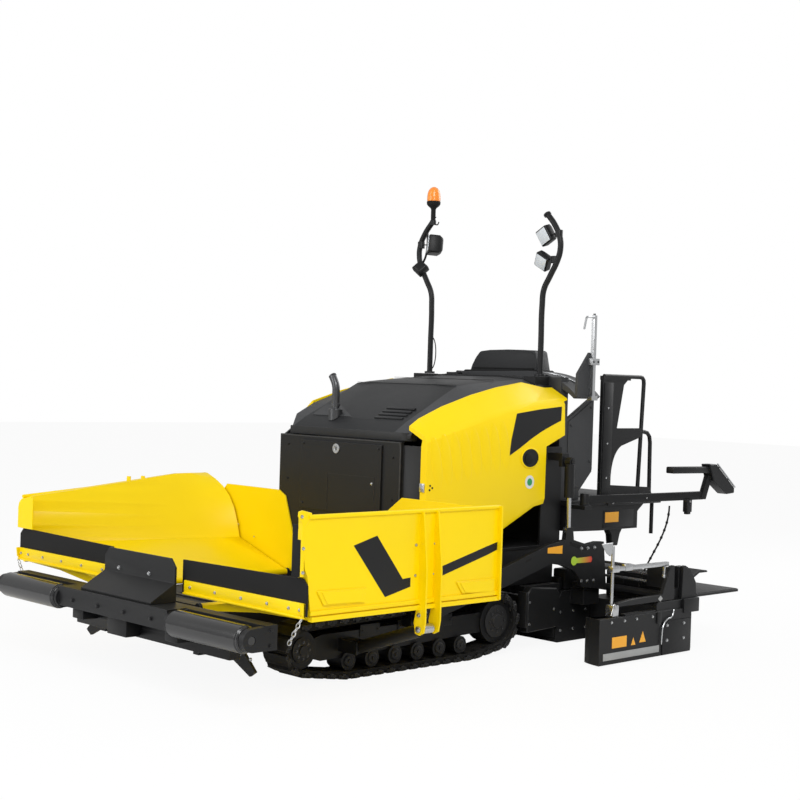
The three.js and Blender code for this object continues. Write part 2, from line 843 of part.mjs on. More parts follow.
function engineHousing() {
  const { frontX, rearX, frontLeft, frontRight, halfWidth, floorZ, frontTop, cowlX, cowlZ, wall } = housing;
  const { x: pivotX, z: pivotZ } = liftPivot;
  const hoodRestTop = lid.sections[0][7] - lid.thickness - seatGap;
  const rightEndX = sidePanel.profile[2][0] - 2;
  const padY = sidePanel.innerY - seatGap;
  const sidePieces = [
    sideBox(rearX, -870, halfWidth - wall, halfWidth, floorZ, 1500),
    sideBox(pivotX - 40, pivotX + 40, halfWidth - 10, 950, pivotZ + 2, pivotZ + 60),
    sideBox(pivotX - 40, pivotX + 40, 926, 958, pivotZ - 42, pivotZ + 60),
    sideBox(rearX, cowlX, mast.y - 60, mast.y + 60, 1880, mast.footZ),
    (side) => crossBar(pivotX, pivotZ, side > 0 ? 940 : -1034, side > 0 ? 1034 : -940, 16),
  ];
  const cowlEdge = sidePanel.topY - 5;
  const cowl = [
    [-cowlEdge, 1880],
    [-cowlEdge, cowlZ],
    [-560, cowlZ + 66],
    [-300, cowlZ + 82],
    [300, cowlZ + 82],
    [560, cowlZ + 66],
    [cowlEdge, cowlZ],
    [cowlEdge, 1880],
  ];
  const rightWall = [
    [rightEndX, floorZ],
    [frontX - 22, floorZ],
    [frontX - 22, frontTop - 10],
    [rightEndX, 1720],
  ];
  const parts = [
    box(rearX, frontX, -frontRight, frontLeft, floorZ, floorZ + wall),
    box(rearX, frontX - 22, -frontRight, halfWidth, floorZ, floorZ + wall),
    box(rearX, rightEndX, -halfWidth, halfWidth, floorZ, floorZ + wall),
    box(frontX - 28, frontX, -frontRight, frontLeft, floorZ, frontTop),
    box(frontX - 40, frontX - 22, frontLeft - 5, halfWidth, floorZ, frontTop - 22),
    prism("y", rightWall, -frontRight, wall - frontRight),
    box(rightEndX - wall, rightEndX, -halfWidth, wall - frontRight, floorZ, 1585),
    box(300, 380, halfWidth - 10, padY, floorZ, floorZ + wall),
    box(rightEndX - 50, rightEndX, -padY, 10 - halfWidth, 900, 960),
    box(rearX, rearX + wall, -halfWidth, halfWidth, floorZ, 1500),
    box(rearX, rearX + wall, -cowlEdge, cowlEdge, 1490, 1900),
    box(cowlX - 95, cowlX - 35, -317, -195, cowlZ, cowlZ + 98),
    prism("x", cowl, rearX, cowlX),
    box(frontX - 60, lid.sections[0][0], -280, 280, frontTop - 60, hoodRestTop),
    box(frontX - 60, frontX - 10, -280, 280, frontTop - 60, frontTop - 5),
  ];
  [1, -1].forEach((side) => parts.push(...sidePieces.map((piece) => piece(side))));
  return fuse(...parts);
}

put("engine_housing", engineHousing(), "black");

function hoodSolid() {
  const { thickness, ridgeY, sections } = lid;
  const stations = sections.map(([x, rightEdge, leftEdge, edge, rightCrease, leftCrease, crease, ridge]) => {
    const outer = [
      [leftEdge, edge - thickness],
      [leftEdge, edge],
      [leftCrease, crease],
      [ridgeY, ridge],
      [-ridgeY, ridge],
      [rightCrease, crease],
      [rightEdge, edge],
      [rightEdge, edge - thickness],
    ];
    const inner = [
      [rightEdge + thickness, edge - thickness],
      [rightCrease + 8, crease - thickness],
      [-ridgeY, ridge - thickness],
      [ridgeY, ridge - thickness],
      [leftCrease - 8, crease - thickness],
      [leftEdge - thickness, edge - thickness],
    ];
    return { x, ring: [...outer, ...inner] };
  });
  return asSolid(loft(stations));
}

put("hood", hoodSolid(), "black");

// The stack stands on the flat middle of the hood's front slope and leans to the right at its tip.
function exhaustPipe() {
  const { x, y, topZ, radius } = stack;
  const [rim, front, rear] = lid.sections.map((section) => ({ x: section[0], z: section[7] + seatGap }));
  const rearShare = (front.x - x + 100) / (front.x - rear.x);
  const outline = [
    [x - 100, mix(front.z, rear.z, rearShare)],
    [front.x, front.z],
    [rim.x, rim.z],
    [rim.x, front.z - 200],
    [x - 100, front.z - 200],
  ];
  const corners = [point(x, y, front.z - 60), point(x, y, topZ - 70), point(x, y - 45, topZ)];
  const flange = bar(point(x, y, front.z - 60), point(x, y, front.z + 62), radius + 24, 18);
  return fuse(bentTube(corners, 34, radius, 12), flange).subtract(asSolid(prism("y", outline, y - 120, y + 120)));
}

put("exhaust_pipe", exhaustPipe(), "steel");

function sidePanelSolid(stations) {
  const { innerY, outerY, topY, rearX, waistX, kneeX, wall } = sidePanel;
  const kneeZ = 909;
  const bottomAt = (x) => (x < kneeX ? mix(kneeZ, 1105, (kneeX - x) / (kneeX - waistX)) : kneeZ - 0.25 * (x - kneeX));
  const ringAt = (x, shoulder, top, bottom) => [
    [outerY - 14, bottom],
    [outerY, bottom + 40],
    [outerY, shoulder - 45],
    [outerY - 24, shoulder],
    [topY + 10, top],
    [topY, top],
    [topY, top - 30],
    [outerY - 24 - wall, shoulder - 30],
    [innerY, shoulder - 70],
    [innerY, bottom],
  ];
  const knee = [kneeX, 1792, 1927];
  const rings = [...stations, knee]
    .sort((a, b) => b[0] - a[0])
    .map(([x, shoulder, top]) => ({ x, ring: ringAt(x, shoulder, top, bottomAt(Math.max(x, waistX))) }));
  const whole = asSolid(loft(rings));
  const notch = [
    [rearX - 10, 400],
    [waistX, 400],
    [waistX - 9, 1506],
    [waistX - 220, 1591],
    [waistX - 208, 1846],
    [rearX - 10, 1860],
  ];
  return whole.subtract(asSolid(prism("y", notch, 600, 1000)));
}

put("side_panel_left", sidePanelSolid(sidePanel.profile), "yellow");
put("side_panel_right", sidePanelSolid(sidePanel.profile.slice(2)), "yellow", rightSide);

function serviceDoor() {
  const { halfWidth, bottomZ, topZ, thickness } = door;
  const x = housing.frontX + seatGap;
  return asSolid(box(x, x + thickness, -halfWidth, halfWidth, bottomZ, topZ));
}

put("service_door", serviceDoor(), "black");

// ---- operator's place ----

function platformSolid() {
  const { frontX, rearX, halfWidth, topZ, deck, boxBottom } = platform;
  const boxes = [1, -1].map((side) => {
    const y = [side * 640, side * (halfWidth - 20)].sort((a, b) => a - b);
    const outline = [
      [frontX - 20, topZ - 10],
      [frontX - 20, boxBottom + 10],
      [-1500, boxBottom],
      [-1985, boxBottom],
      [-1985, topZ - 110],
      [-2120, topZ - 10],
    ];
    return prism("y", outline, y[0], y[1]);
  });
  const pads = [1, -1].map((side) => {
    const y = [side * (halfWidth - 40), side * (panelArm.y + 40)].sort((a, b) => a - b);
    return box(panelArm.x - 45, panelArm.x + 45, y[0], y[1], 1034, panelArm.bottomZ - seatGap);
  });
  return fuse(box(rearX, frontX, -halfWidth, halfWidth, topZ - deck, topZ), ...boxes, ...pads);
}

put("platform", platformSolid(), "black");

function operatorConsole() {
  const { frontX, rearX, halfWidth, topZ, sideX, skin, coverFrontX, coverRearX } = consoleBox;
  const deckZ = platform.topZ + seatGap;
  const side = (s) => {
    const y = [s * (halfWidth - skin), s * halfWidth].sort((a, b) => a - b);
    const outline = [
      [rearX + 10, deckZ],
      [rearX + 10, 1700],
      [sideX, 1890],
      [sideX, 1300],
      [sideX + 150, deckZ + 60],
      [sideX + 150, deckZ],
    ];
    return prism("y", outline, y[0], y[1]);
  };
  const dash = new THREE.Shape();
  dash.moveTo(-925, 1850);
  dash.quadraticCurveTo(-760, 1985, -430, 2012);
  dash.lineTo(-330, 2058);
  dash.lineTo(430, 2072);
  dash.quadraticCurveTo(760, 2056, 925, 1890);
  dash.lineTo(900, 1870);
  dash.quadraticCurveTo(740, 2000, 430, 2010);
  dash.lineTo(-330, 1990);
  dash.quadraticCurveTo(-740, 1940, -900, 1830);
  const cover = new THREE.Shape();
  cover.moveTo(-330, 2040);
  cover.lineTo(-230, 2205);
  cover.quadraticCurveTo(-215, 2228, -180, 2230);
  cover.lineTo(350, 2238);
  cover.quadraticCurveTo(380, 2238, 388, 2215);
  cover.lineTo(430, 2040);
  const bracket = [
    [-1255, 2225],
    [-1120, 2060],
    [-1115, 1880],
    [-1295, 1880],
    [-1295, 2225],
  ];
  return fuse(
    box(rearX, frontX - seatGap, -halfWidth, halfWidth, deckZ, topZ - 20),
    side(1),
    side(-1),
    prism("x", dash, -1400, -1112),
    prism("x", cover, coverRearX, coverFrontX),
    prism("y", bracket, 905, 930),
  );
}

put("operator_console", operatorConsole(), "black");

function guardSolid() {
  const { y, thickness, tube } = guard;
  const floorZ = platform.topZ + seatGap;
  const plate = new THREE.Shape();
  plate.moveTo(-1575, floorZ);
  plate.lineTo(-1575, 2030);
  plate.lineTo(-1895, 2030);
  plate.lineTo(-1840, 1985);
  plate.lineTo(-1765, 1640);
  plate.lineTo(-2085, 1640);
  plate.lineTo(-2105, 1575);
  plate.lineTo(-1830, 1500);
  plate.quadraticCurveTo(-1715, 1440, -1705, 1250);
  plate.lineTo(-1705, 1190);
  plate.lineTo(-2230, 1160);
  plate.lineTo(-2255, floorZ);
  const rail = bentTube([point(-1600, y, 2052), point(-2120, y, 2052), point(-2075, y, floorZ)], 50, tube);
  const hoop = bentTube([point(-2060, y, 1612), point(-2225, y, 1612), point(-2235, y, floorZ)], 90, tube);
  const foot = (x) => box(x - 24, x + 24, y - 24, y + 24, floorZ, floorZ + 20);
  const topBar = box(-1920, -1575, y - 20, y + 20, 2022, 2054);
  const sheet = prism("y", plate, y - thickness / 2, y + thickness / 2);
  const whole = fuse(sheet, rail, hoop, foot(-2075), foot(-2235), topBar);
  return carve(whole, box(-2400, -1400, 600, 1000, 900, floorZ));
}

putPair("guard_rail", guardSolid(), "black");

// The mast bows outwards above the hood and carries two lamps inside the bow.
function lightMast() {
  const { x, y, bowY, tipY, footZ, topZ, radius, lamp, lampDepth } = mast;
  const foot = footZ + seatGap;
  const corners = [
    point(x, y, foot),
    point(x, y, 2700),
    point(x, bowY, 2980),
    point(x, bowY, 3080),
    point(x, tipY, topZ - 15),
  ];
  const lampAt = (lampX, lampY, z, reachY) => {
    const head = box(-lampDepth / 2, lampDepth / 2, -lamp / 2, lamp / 2, -lamp / 2, lamp / 2);
    head.rotateY(0.35).rotateZ(0.2);
    return [head.translate(lampX, lampY, z), bar(point(lampX, lampY, z), point(x, reachY, z), 12, 8)];
  };
  return fuse(
    bentTube(corners, 60, radius),
    bar(point(x, y, foot), point(x, y, foot + 16), 40, 16),
    bar(point(x, tipY, topZ - 40), point(x, tipY, topZ), radius, 12),
    ...lampAt(x - 30, y - 10, 3100, bowY - 15),
    ...lampAt(x + 50, y + 35, 2920, bowY - 35),
  );
}

const mastSeat = box(-1300, -900, 400, 900, 1900, mast.footZ + seatGap);
putPair("light_mast", lightMast().subtract(asSolid(mastSeat)), "black");

function beaconSolid() {
  const { radius, height } = beacon;
  const profile = [
    [0, 0],
    [20, 0],
    [20, 108],
    [radius - 12, 108],
    [radius, 132],
    [radius, 150],
    [radius - 4, 156],
    [radius - 4, 215],
    [radius - 14, 258],
    [radius - 34, height - 2],
    [0, height],
  ];
  const made = new THREE.LatheGeometry(profile.map(([r, y]) => new THREE.Vector2(r, y)), 20);
  return asSolid(made.rotateX(Math.PI / 2).translate(mast.x, mast.tipY, mast.topZ + seatGap));
}

put("beacon", beaconSolid(), "amber", rightSide);

function crankPost() {
  const { x, y, size, bottomZ, topZ } = crank;
  const half = size / 2;
  const hookPoints = [point(x, y, topZ - 14), point(x + 95, y, topZ - 14), point(x + 120, y, topZ - 110)];
  const hook = bentTube(hookPoints, 18, 9, 6);
  return fuse(
    box(x - half, x + half, y - half, y + half, bottomZ, topZ),
    box(x - 42, x + 42, y - half, y + 30, 2130, 2180),
    box(x - 36, x + 36, y - half, y + 26, bottomZ, bottomZ + 34),
    hook,
  );
}

const postSeat = box(-1500, -1100, 880, 930 + seatGap, 1700, 2400);
put("crank_post_left", carve(crankPost(), postSeat), "steel");

function controlPanel() {
  const { x, y, endX, endY, bottomZ, topZ, width } = panelArm;
  const middleZ = (bottomZ + topZ) / 2;
  const head = new THREE.BoxGeometry(330, 250, 50);
  head.rotateY(-0.62).translate(-2274, endY, 1270);
  const stem = beam(point(endX + 30, endY - 10, 1130), point(-2290, endY, 1270), 60, 60);
  const shelf = beam(point(-1830, endY, 1372), point(-2200, endY, 1362), 70, 42);
  const shelfLink = beam(point(-2160, endY, 1360), point(-2290, endY, 1285), 60, 40);
  return fuse(
    bar(point(x, y, bottomZ), point(x, y, topZ + 16), 38),
    beam(point(x, y, middleZ), point(endX, endY, middleZ), width, topZ - bottomZ),
    stem,
    head,
    shelf,
    shelfLink,
  );
}

putPair("control_panel", controlPanel(), "black");

// ---- screed ----

function towArmSolid() {
  const { x, z, y, thickness, pin, boss } = towArm;
  const outline = [
    [x + 20, z + boss - 4],
    [-280, 660],
    [-735, 790],
    [-900, 815],
    [-1010, 815],
    [-1180, 770],
    [-1300, 785],
    [-1385, 780],
    [-1432, 410],
    [-1140, 450],
    [-1100, 520],
    [-1045, 575],
    [-895, 628],
    [-790, 652],
    [-290, 520],
    [x - 10, z - boss + 4],
  ];
  const half = thickness / 2;
  const earOutline = [
    [liftEye.x - 52, 790],
    [liftEye.x - 34, liftEye.z + 26],
    [liftEye.x + 34, liftEye.z + 26],
    [liftEye.x + 52, 790],
  ];
  const body = fuse(
    prism("y", outline, y - half, y + half),
    crossBar(x, z, y - half, y + half, boss, 24),
    box(-1432, -1200, y - half - 110, y, 430, 470),
  );
  const slot = box(liftEye.x - 60, liftEye.x + 60, y - 16, y + 16, 834, 990);
  const ears = fuse(prism("y", earOutline, y - half, y - 17), prism("y", earOutline, y + 17, y + half));
  return carve(fuse(body, ears), crossBar(x, z, y - 60, y + 60, pin + pinGap, 20), slot);
}

putPair("tow_arm", towArmSolid(), "black");

function liftBarrel() {
  const { barrel, barrelRadius, rodRadius } = liftCylinder;
  const top = point(liftPivot.x, towArm.y, liftPivot.z);
  const down = point(liftEye.x - liftPivot.x, 0, liftEye.z - liftPivot.z).normalize();
  const end = top.clone().addScaledVector(down, barrel);
  const body = bar(top.clone().addScaledVector(down, 20), end, barrelRadius, 18);
  const mouth = end.clone().addScaledVector(down, 5);
  const bore = bar(top.clone().addScaledVector(down, 24), mouth, rodRadius + pinGap);
  const eye = crossBar(top.x, top.z, towArm.y - 26, towArm.y + 26, 32);
  const hole = crossBar(top.x, top.z, towArm.y - 60, towArm.y + 60, 16 + pinGap);
  return carve(fuse(body, eye), bore, hole);
}

function liftRod() {
  const { rodRadius, rodLength } = liftCylinder;
  const eyeCentre = point(liftEye.x, towArm.y, liftEye.z);
  const up = point(liftPivot.x - liftEye.x, 0, liftPivot.z - liftEye.z).normalize();
  const rod = bar(eyeCentre, eyeCentre.clone().addScaledVector(up, rodLength), rodRadius - 0.2);
  return fuse(rod, crossBar(liftEye.x, liftEye.z, towArm.y - 15, towArm.y + 15, 30)).intersect(
    asSolid(box(liftEye.x - 60, liftEye.x + 60, towArm.y - 15.6, towArm.y + 15.6, 700, 960)).add(
      asSolid(box(liftEye.x - 60, liftEye.x + 60, towArm.y - 60, towArm.y + 60, 915, 1400)),
    ),
  );
}

putPair("lift_cylinder", liftBarrel(), "black");
putPair("lift_rod", liftRod(), "steel");

function screedMain() {
  const { frontX, rearX, halfWidth, baseZ, topZ } = screed;
  const outline = [
    [frontX, baseZ + 30],
    [frontX - 20, baseZ],
    [rearX, baseZ],
    [rearX, 340],
    [rearX + 60, topZ],
    [frontX - 60, topZ],
    [frontX, 300],
  ];
  const slides = [];
  const tubeRadius = extension.tubeRadius + pinGap;
  [
    [1, extension.tubeXLeft],
    [-1, extension.tubeXRight],
  ].forEach(([side, tubeX]) => {
    const y = [side * sleeve.innerY, side * sleeve.outerY].sort((a, b) => a - b);
    const block = box(-1620, rearX + 50, y[0], y[1], 366, 470);
    slides.push(carve(block, crossBar(tubeX, extension.tubeZ, y[0] - 5, y[1] + 5, tubeRadius, 20)));
  });
  const armSeats = [1, -1].map((side) => {
    const inner = towArm.y - towArm.thickness / 2 - seatGap;
    const y = [side * (halfWidth - 10), side * inner].sort((a, b) => a - b);
    return box(-1400, -1210, y[0], y[1], 300, 420);
  });
  return fuse(
    prism("y", outline, -halfWidth, halfWidth),
    ...slides,
    ...armSeats,
    box(-1860, -1380, -70, 70, 478, 502),
    box(-1460, -1380, -70, 70, 390, 490),
    box(-2240, -1850, -600, 600, 478, 502),
  );
}

put("screed_main", screedMain(), "black");

function screedExtension(tubeX) {
  const { frontX, rearX, innerY, outerY, topZ, tubeZ, tubeRadius, tubeInner, bracketY } = extension;
  const outline = [
    [frontX, screed.baseZ + 20],
    [frontX - 14, screed.baseZ],
    [rearX, screed.baseZ],
    [rearX, 280],
    [rearX + 40, topZ],
    [frontX, topZ],
  ];
  const step = [
    [-1742, 250],
    [-1742, 300],
    [footboard.frontX - 120, footboard.z + footboard.thickness],
    [footboard.rearX, footboard.z + footboard.thickness],
    [footboard.rearX, footboard.z],
    [footboard.frontX - 110, footboard.z],
  ];
  return fuse(
    prism("y", outline, innerY, outerY),
    crossBar(tubeX, tubeZ, tubeInner, bracketY + 40, tubeRadius, 20),
    box(-1640, frontX, bracketY, outerY, topZ - 20, 480),
    prism("y", step, footboard.innerY, footboard.outerY),
    box(-1742, -1700, footboard.innerY, footboard.outerY, 240, 300),
    box(-1640, -1560, bracketY + 20, outerY, 470, 640),
  );
}

put("screed_extension_left", screedExtension(extension.tubeXLeft), "black");
put("screed_extension_right", screedExtension(extension.tubeXRight), "black", rightSide);

function endPlateSolid() {
  const { innerY, outerY, frontX, noseX, noseIn, rearX, topZ } = endPlate;
  const plan = [
    [rearX, innerY],
    [rearX, outerY],
    [frontX, outerY],
    [noseX, outerY - noseIn],
    [noseX - 22, innerY - noseIn - 6],
    [frontX - 16, innerY],
  ];
  const upper = [
    [rearX + 4, topZ - 10],
    [-1755, 345],
    [-1735, 520],
    [-1660, 620],
    [-1600, 650],
    [-1570, 640],
    [-1560, 400],
    [-1270, 400],
    [-1250, 380],
    [-1250, topZ - 10],
  ];
  return fuse(prism("z", plan, screed.baseZ, topZ), prism("y", upper, innerY, outerY - 16));
}

putPair("end_plate", endPlateSolid(), "black");

// A blade wound round the shaft: its square section swept along a helix.
function augerSolid() {
  const { x, z, radius, shaft, innerY, outerY, turns, blade } = auger;
  const perTurn = 12;
  const steps = turns * perTurn;
  const places = [];
  const faces = [];
  for (let i = 0; i <= steps; i += 1) {
    const angle = (i * 2 * Math.PI) / perTurn;
    const along = mix(innerY + 20, outerY - 20 - blade, i / steps);
    const rim = [
      [shaft - 8, along],
      [radius, along],
      [radius, along + blade],
      [shaft - 8, along + blade],
    ];
    rim.forEach(([r, y]) => places.push(x + r * Math.cos(angle), y, z + r * Math.sin(angle)));
  }
  for (let i = 0; i < steps; i += 1) {
    for (let k = 0; k < 4; k += 1) {
      const a = i * 4 + k;
      const b = i * 4 + ((k + 1) % 4);
      faces.push(a, b, b + 4, a, b + 4, a + 4);
    }
  }
  const last = steps * 4;
  faces.push(0, 2, 1, 0, 3, 2, last, last + 1, last + 2, last, last + 2, last + 3);
  return fuse(crossBar(x, z, innerY - 2 + seatGap, outerY, shaft, perTurn), indexedGeometry(places, faces));
}

putPair("auger", augerSolid(), "iron");

export default group;
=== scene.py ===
import json
import math
import bpy
import bmesh
from mathutils import Matrix, Vector

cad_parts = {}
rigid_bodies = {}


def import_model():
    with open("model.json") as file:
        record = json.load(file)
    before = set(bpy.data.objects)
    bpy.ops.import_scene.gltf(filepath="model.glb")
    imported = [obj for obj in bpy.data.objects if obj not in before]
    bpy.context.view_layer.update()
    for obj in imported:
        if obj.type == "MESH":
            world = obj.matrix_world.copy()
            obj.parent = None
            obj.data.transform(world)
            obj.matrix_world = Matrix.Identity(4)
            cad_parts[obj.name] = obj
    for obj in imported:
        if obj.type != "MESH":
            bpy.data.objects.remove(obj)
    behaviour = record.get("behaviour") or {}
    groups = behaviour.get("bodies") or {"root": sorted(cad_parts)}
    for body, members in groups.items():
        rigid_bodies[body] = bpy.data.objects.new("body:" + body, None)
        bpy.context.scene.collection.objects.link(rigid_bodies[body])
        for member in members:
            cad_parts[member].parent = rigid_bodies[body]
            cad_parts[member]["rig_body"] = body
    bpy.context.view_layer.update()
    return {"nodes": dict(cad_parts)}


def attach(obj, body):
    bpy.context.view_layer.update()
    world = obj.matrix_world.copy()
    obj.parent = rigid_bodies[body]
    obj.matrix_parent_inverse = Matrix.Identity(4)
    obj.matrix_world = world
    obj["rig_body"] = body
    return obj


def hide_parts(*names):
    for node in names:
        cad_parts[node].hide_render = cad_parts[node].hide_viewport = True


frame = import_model()
cadNodes = frame["nodes"]
print("frame loaded:", len(cadNodes), "nodes")

cameraView = {
    "place": (7.756, 8.170, 1.981),
    "yaw": 135.9465,  # degrees round +Z
    "pitch": 89.1818,
    "roll": 1.8,
    "lens": 67.5,
    "sensor": 36.0,
}
studio = {
    "floorColor": (0.82, 0.82, 0.82),
    "floorWhite": 0.92,  # how much of the floor the camera sees as plain white
    "floorSize": 80.0,
    "worldStrength": 0.60,
    "key": {"place": (5.0, 7.5, 7.5), "size": 5.0, "energy": 530.0},
    "fill": {"place": (9.0, -3.0, 4.5), "size": 6.0, "energy": 330.0},
    "rear": {"place": (-8.0, 2.0, 5.5), "size": 6.0, "energy": 260.0},
}


def buildCamera(values):
    lensData = bpy.data.cameras.new("camera")
    lensData.lens = values["lens"]
    lensData.sensor_width = values["sensor"]
    lensData.clip_end = 200.0
    made = bpy.data.objects.new("camera", lensData)
    turn = Matrix.Rotation(math.radians(values["yaw"]), 4, "Z")
    tilt = Matrix.Rotation(math.radians(values["pitch"]), 4, "X")
    roll = Matrix.Rotation(math.radians(values["roll"]), 4, "Z")
    made.matrix_world = Matrix.Translation(values["place"]) @ turn @ tilt @ roll
    bpy.context.scene.collection.objects.link(made)
    bpy.context.scene.camera = made


buildCamera(cameraView)
print("camera placed")


# shader node groups

def newGroup(name, inputs, outputs):
    group = bpy.data.node_groups.new(name, "ShaderNodeTree")
    for label, kind, value in inputs:
        socket = group.interface.new_socket(name=label, in_out="INPUT", socket_type=kind)
        socket.default_value = value
    for label, kind in outputs:
        group.interface.new_socket(name=label, in_out="OUTPUT", socket_type=kind)
    return group, group.nodes.new("NodeGroupInput"), group.nodes.new("NodeGroupOutput")


def mathNode(tree, operation, first, second=None, clamp=False):
    node = tree.nodes.new("ShaderNodeMath")
    node.operation = operation
    node.use_clamp = clamp
    for index, value in enumerate((first, second)):
        if value is None:
            continue
        if isinstance(value, (int, float)):
            node.inputs[index].default_value = value
        else:
            tree.links.new(value, node.inputs[index])
    return node.outputs[0]


def noiseNode(tree, scale, detail=4.0, stretch=None, rough=0.5):
    place = tree.nodes.new("ShaderNodeTexCoord").outputs["Object"]
    if stretch:
        mapping = tree.nodes.new("ShaderNodeMapping")
        mapping.inputs["Scale"].default_value = stretch
        tree.links.new(place, mapping.inputs["Vector"])
        place = mapping.outputs[0]
    noise = tree.nodes.new("ShaderNodeTexNoise")
    tree.links.new(place, noise.inputs["Vector"])
    noise.inputs["Detail"].default_value = detail
    noise.inputs["Roughness"].default_value = rough
    if isinstance(scale, (int, float)):
        noise.inputs["Scale"].default_value = scale
    else:
        tree.links.new(scale, noise.inputs["Scale"])
    return noise.outputs["Fac"]


def edgeWearGroup():
    # a mask along convex edges, broken up by noise
    inputs = [("Width", "NodeSocketFloat", 0.006), ("Amount", "NodeSocketFloat", 0.5)]
    group, source, result = newGroup("edgeWear", inputs, [("Mask", "NodeSocketFloat")])
    bevel = group.nodes.new("ShaderNodeBevel")
    bevel.samples = 4
    group.links.new(source.outputs["Width"], bevel.inputs["Radius"])
    geometry = group.nodes.new("ShaderNodeNewGeometry")
    dot = group.nodes.new("ShaderNodeVectorMath")
    dot.operation = "DOT_PRODUCT"
    group.links.new(bevel.outputs[0], dot.inputs[0])
    group.links.new(geometry.outputs["Normal"], dot.inputs[1])
    edge = mathNode(group, "SUBTRACT", 1.0, dot.outputs["Value"], clamp=True)
    edge = mathNode(group, "MULTIPLY", edge, 7.0, clamp=True)
    patches = mathNode(group, "SUBTRACT", noiseNode(group, 22.0, 6.0), 0.38, clamp=True)
    patches = mathNode(group, "MULTIPLY", patches, 4.0, clamp=True)
    worn = mathNode(group, "MULTIPLY", edge, patches)
    worn = mathNode(group, "MULTIPLY", worn, source.outputs["Amount"], clamp=True)
    group.links.new(worn, result.inputs["Mask"])
    return group


def dustGroup():
    # pale dust that settles on upward faces and low down
    inputs = [("Amount", "NodeSocketFloat", 0.3), ("Ceiling", "NodeSocketFloat", 0.9)]
    group, source, result = newGroup("roadDust", inputs, [("Mask", "NodeSocketFloat")])
    geometry = group.nodes.new("ShaderNodeNewGeometry")
    split = group.nodes.new("ShaderNodeSeparateXYZ")
    group.links.new(geometry.outputs["Normal"], split.inputs[0])
    upward = mathNode(group, "MAXIMUM", split.outputs["Z"], 0.12)
    place = group.nodes.new("ShaderNodeSeparateXYZ")
    group.links.new(group.nodes.new("ShaderNodeTexCoord").outputs["Object"], place.inputs[0])
    low = mathNode(group, "DIVIDE", place.outputs["Z"], source.outputs["Ceiling"])
    low = mathNode(group, "SUBTRACT", 1.15, low, clamp=True)
    cloud = mathNode(group, "MULTIPLY", noiseNode(group, 5.0, 5.0), 1.5, clamp=True)
    mask = mathNode(group, "MULTIPLY", mathNode(group, "MULTIPLY", upward, low), cloud)
    mask = mathNode(group, "MULTIPLY", mask, source.outputs["Amount"], clamp=True)
    group.links.new(mask, result.inputs["Mask"])
    return group


def grainGroup():
    # fine height for bump and a slow drift for roughness and colour
    inputs = [("Scale", "NodeSocketFloat", 240.0), ("Drift Scale", "NodeSocketFloat", 3.0)]
    outputs = [("Height", "NodeSocketFloat"), ("Drift", "NodeSocketFloat")]
    group, source, result = newGroup("surfaceGrain", inputs, outputs)
    group.links.new(noiseNode(group, source.outputs["Scale"], 2.0), result.inputs["Height"])
    group.links.new(noiseNode(group, source.outputs["Drift Scale"], 5.0, rough=0.6), result.inputs["Drift"])
    return group


edgeWear = edgeWearGroup()
roadDust = dustGroup()
surfaceGrain = grainGroup()
print("node groups built")


# materials

def mixColor(tree, mask, first, second):
    node = tree.nodes.new("ShaderNodeMix")
    node.data_type = "RGBA"
    tree.links.new(mask, node.inputs[0])
    for socket, value in ((node.inputs[6], first), (node.inputs[7], second)):
        if isinstance(value, tuple):
            socket.default_value = (*value, 1.0)
        else:
            tree.links.new(value, socket)
    return node.outputs[2]


def useGroup(tree, group, **values):
    node = tree.nodes.new("ShaderNodeGroup")
    node.node_tree = group
    for label, value in values.items():
        node.inputs[label.replace("_", " ")].default_value = value
    return node


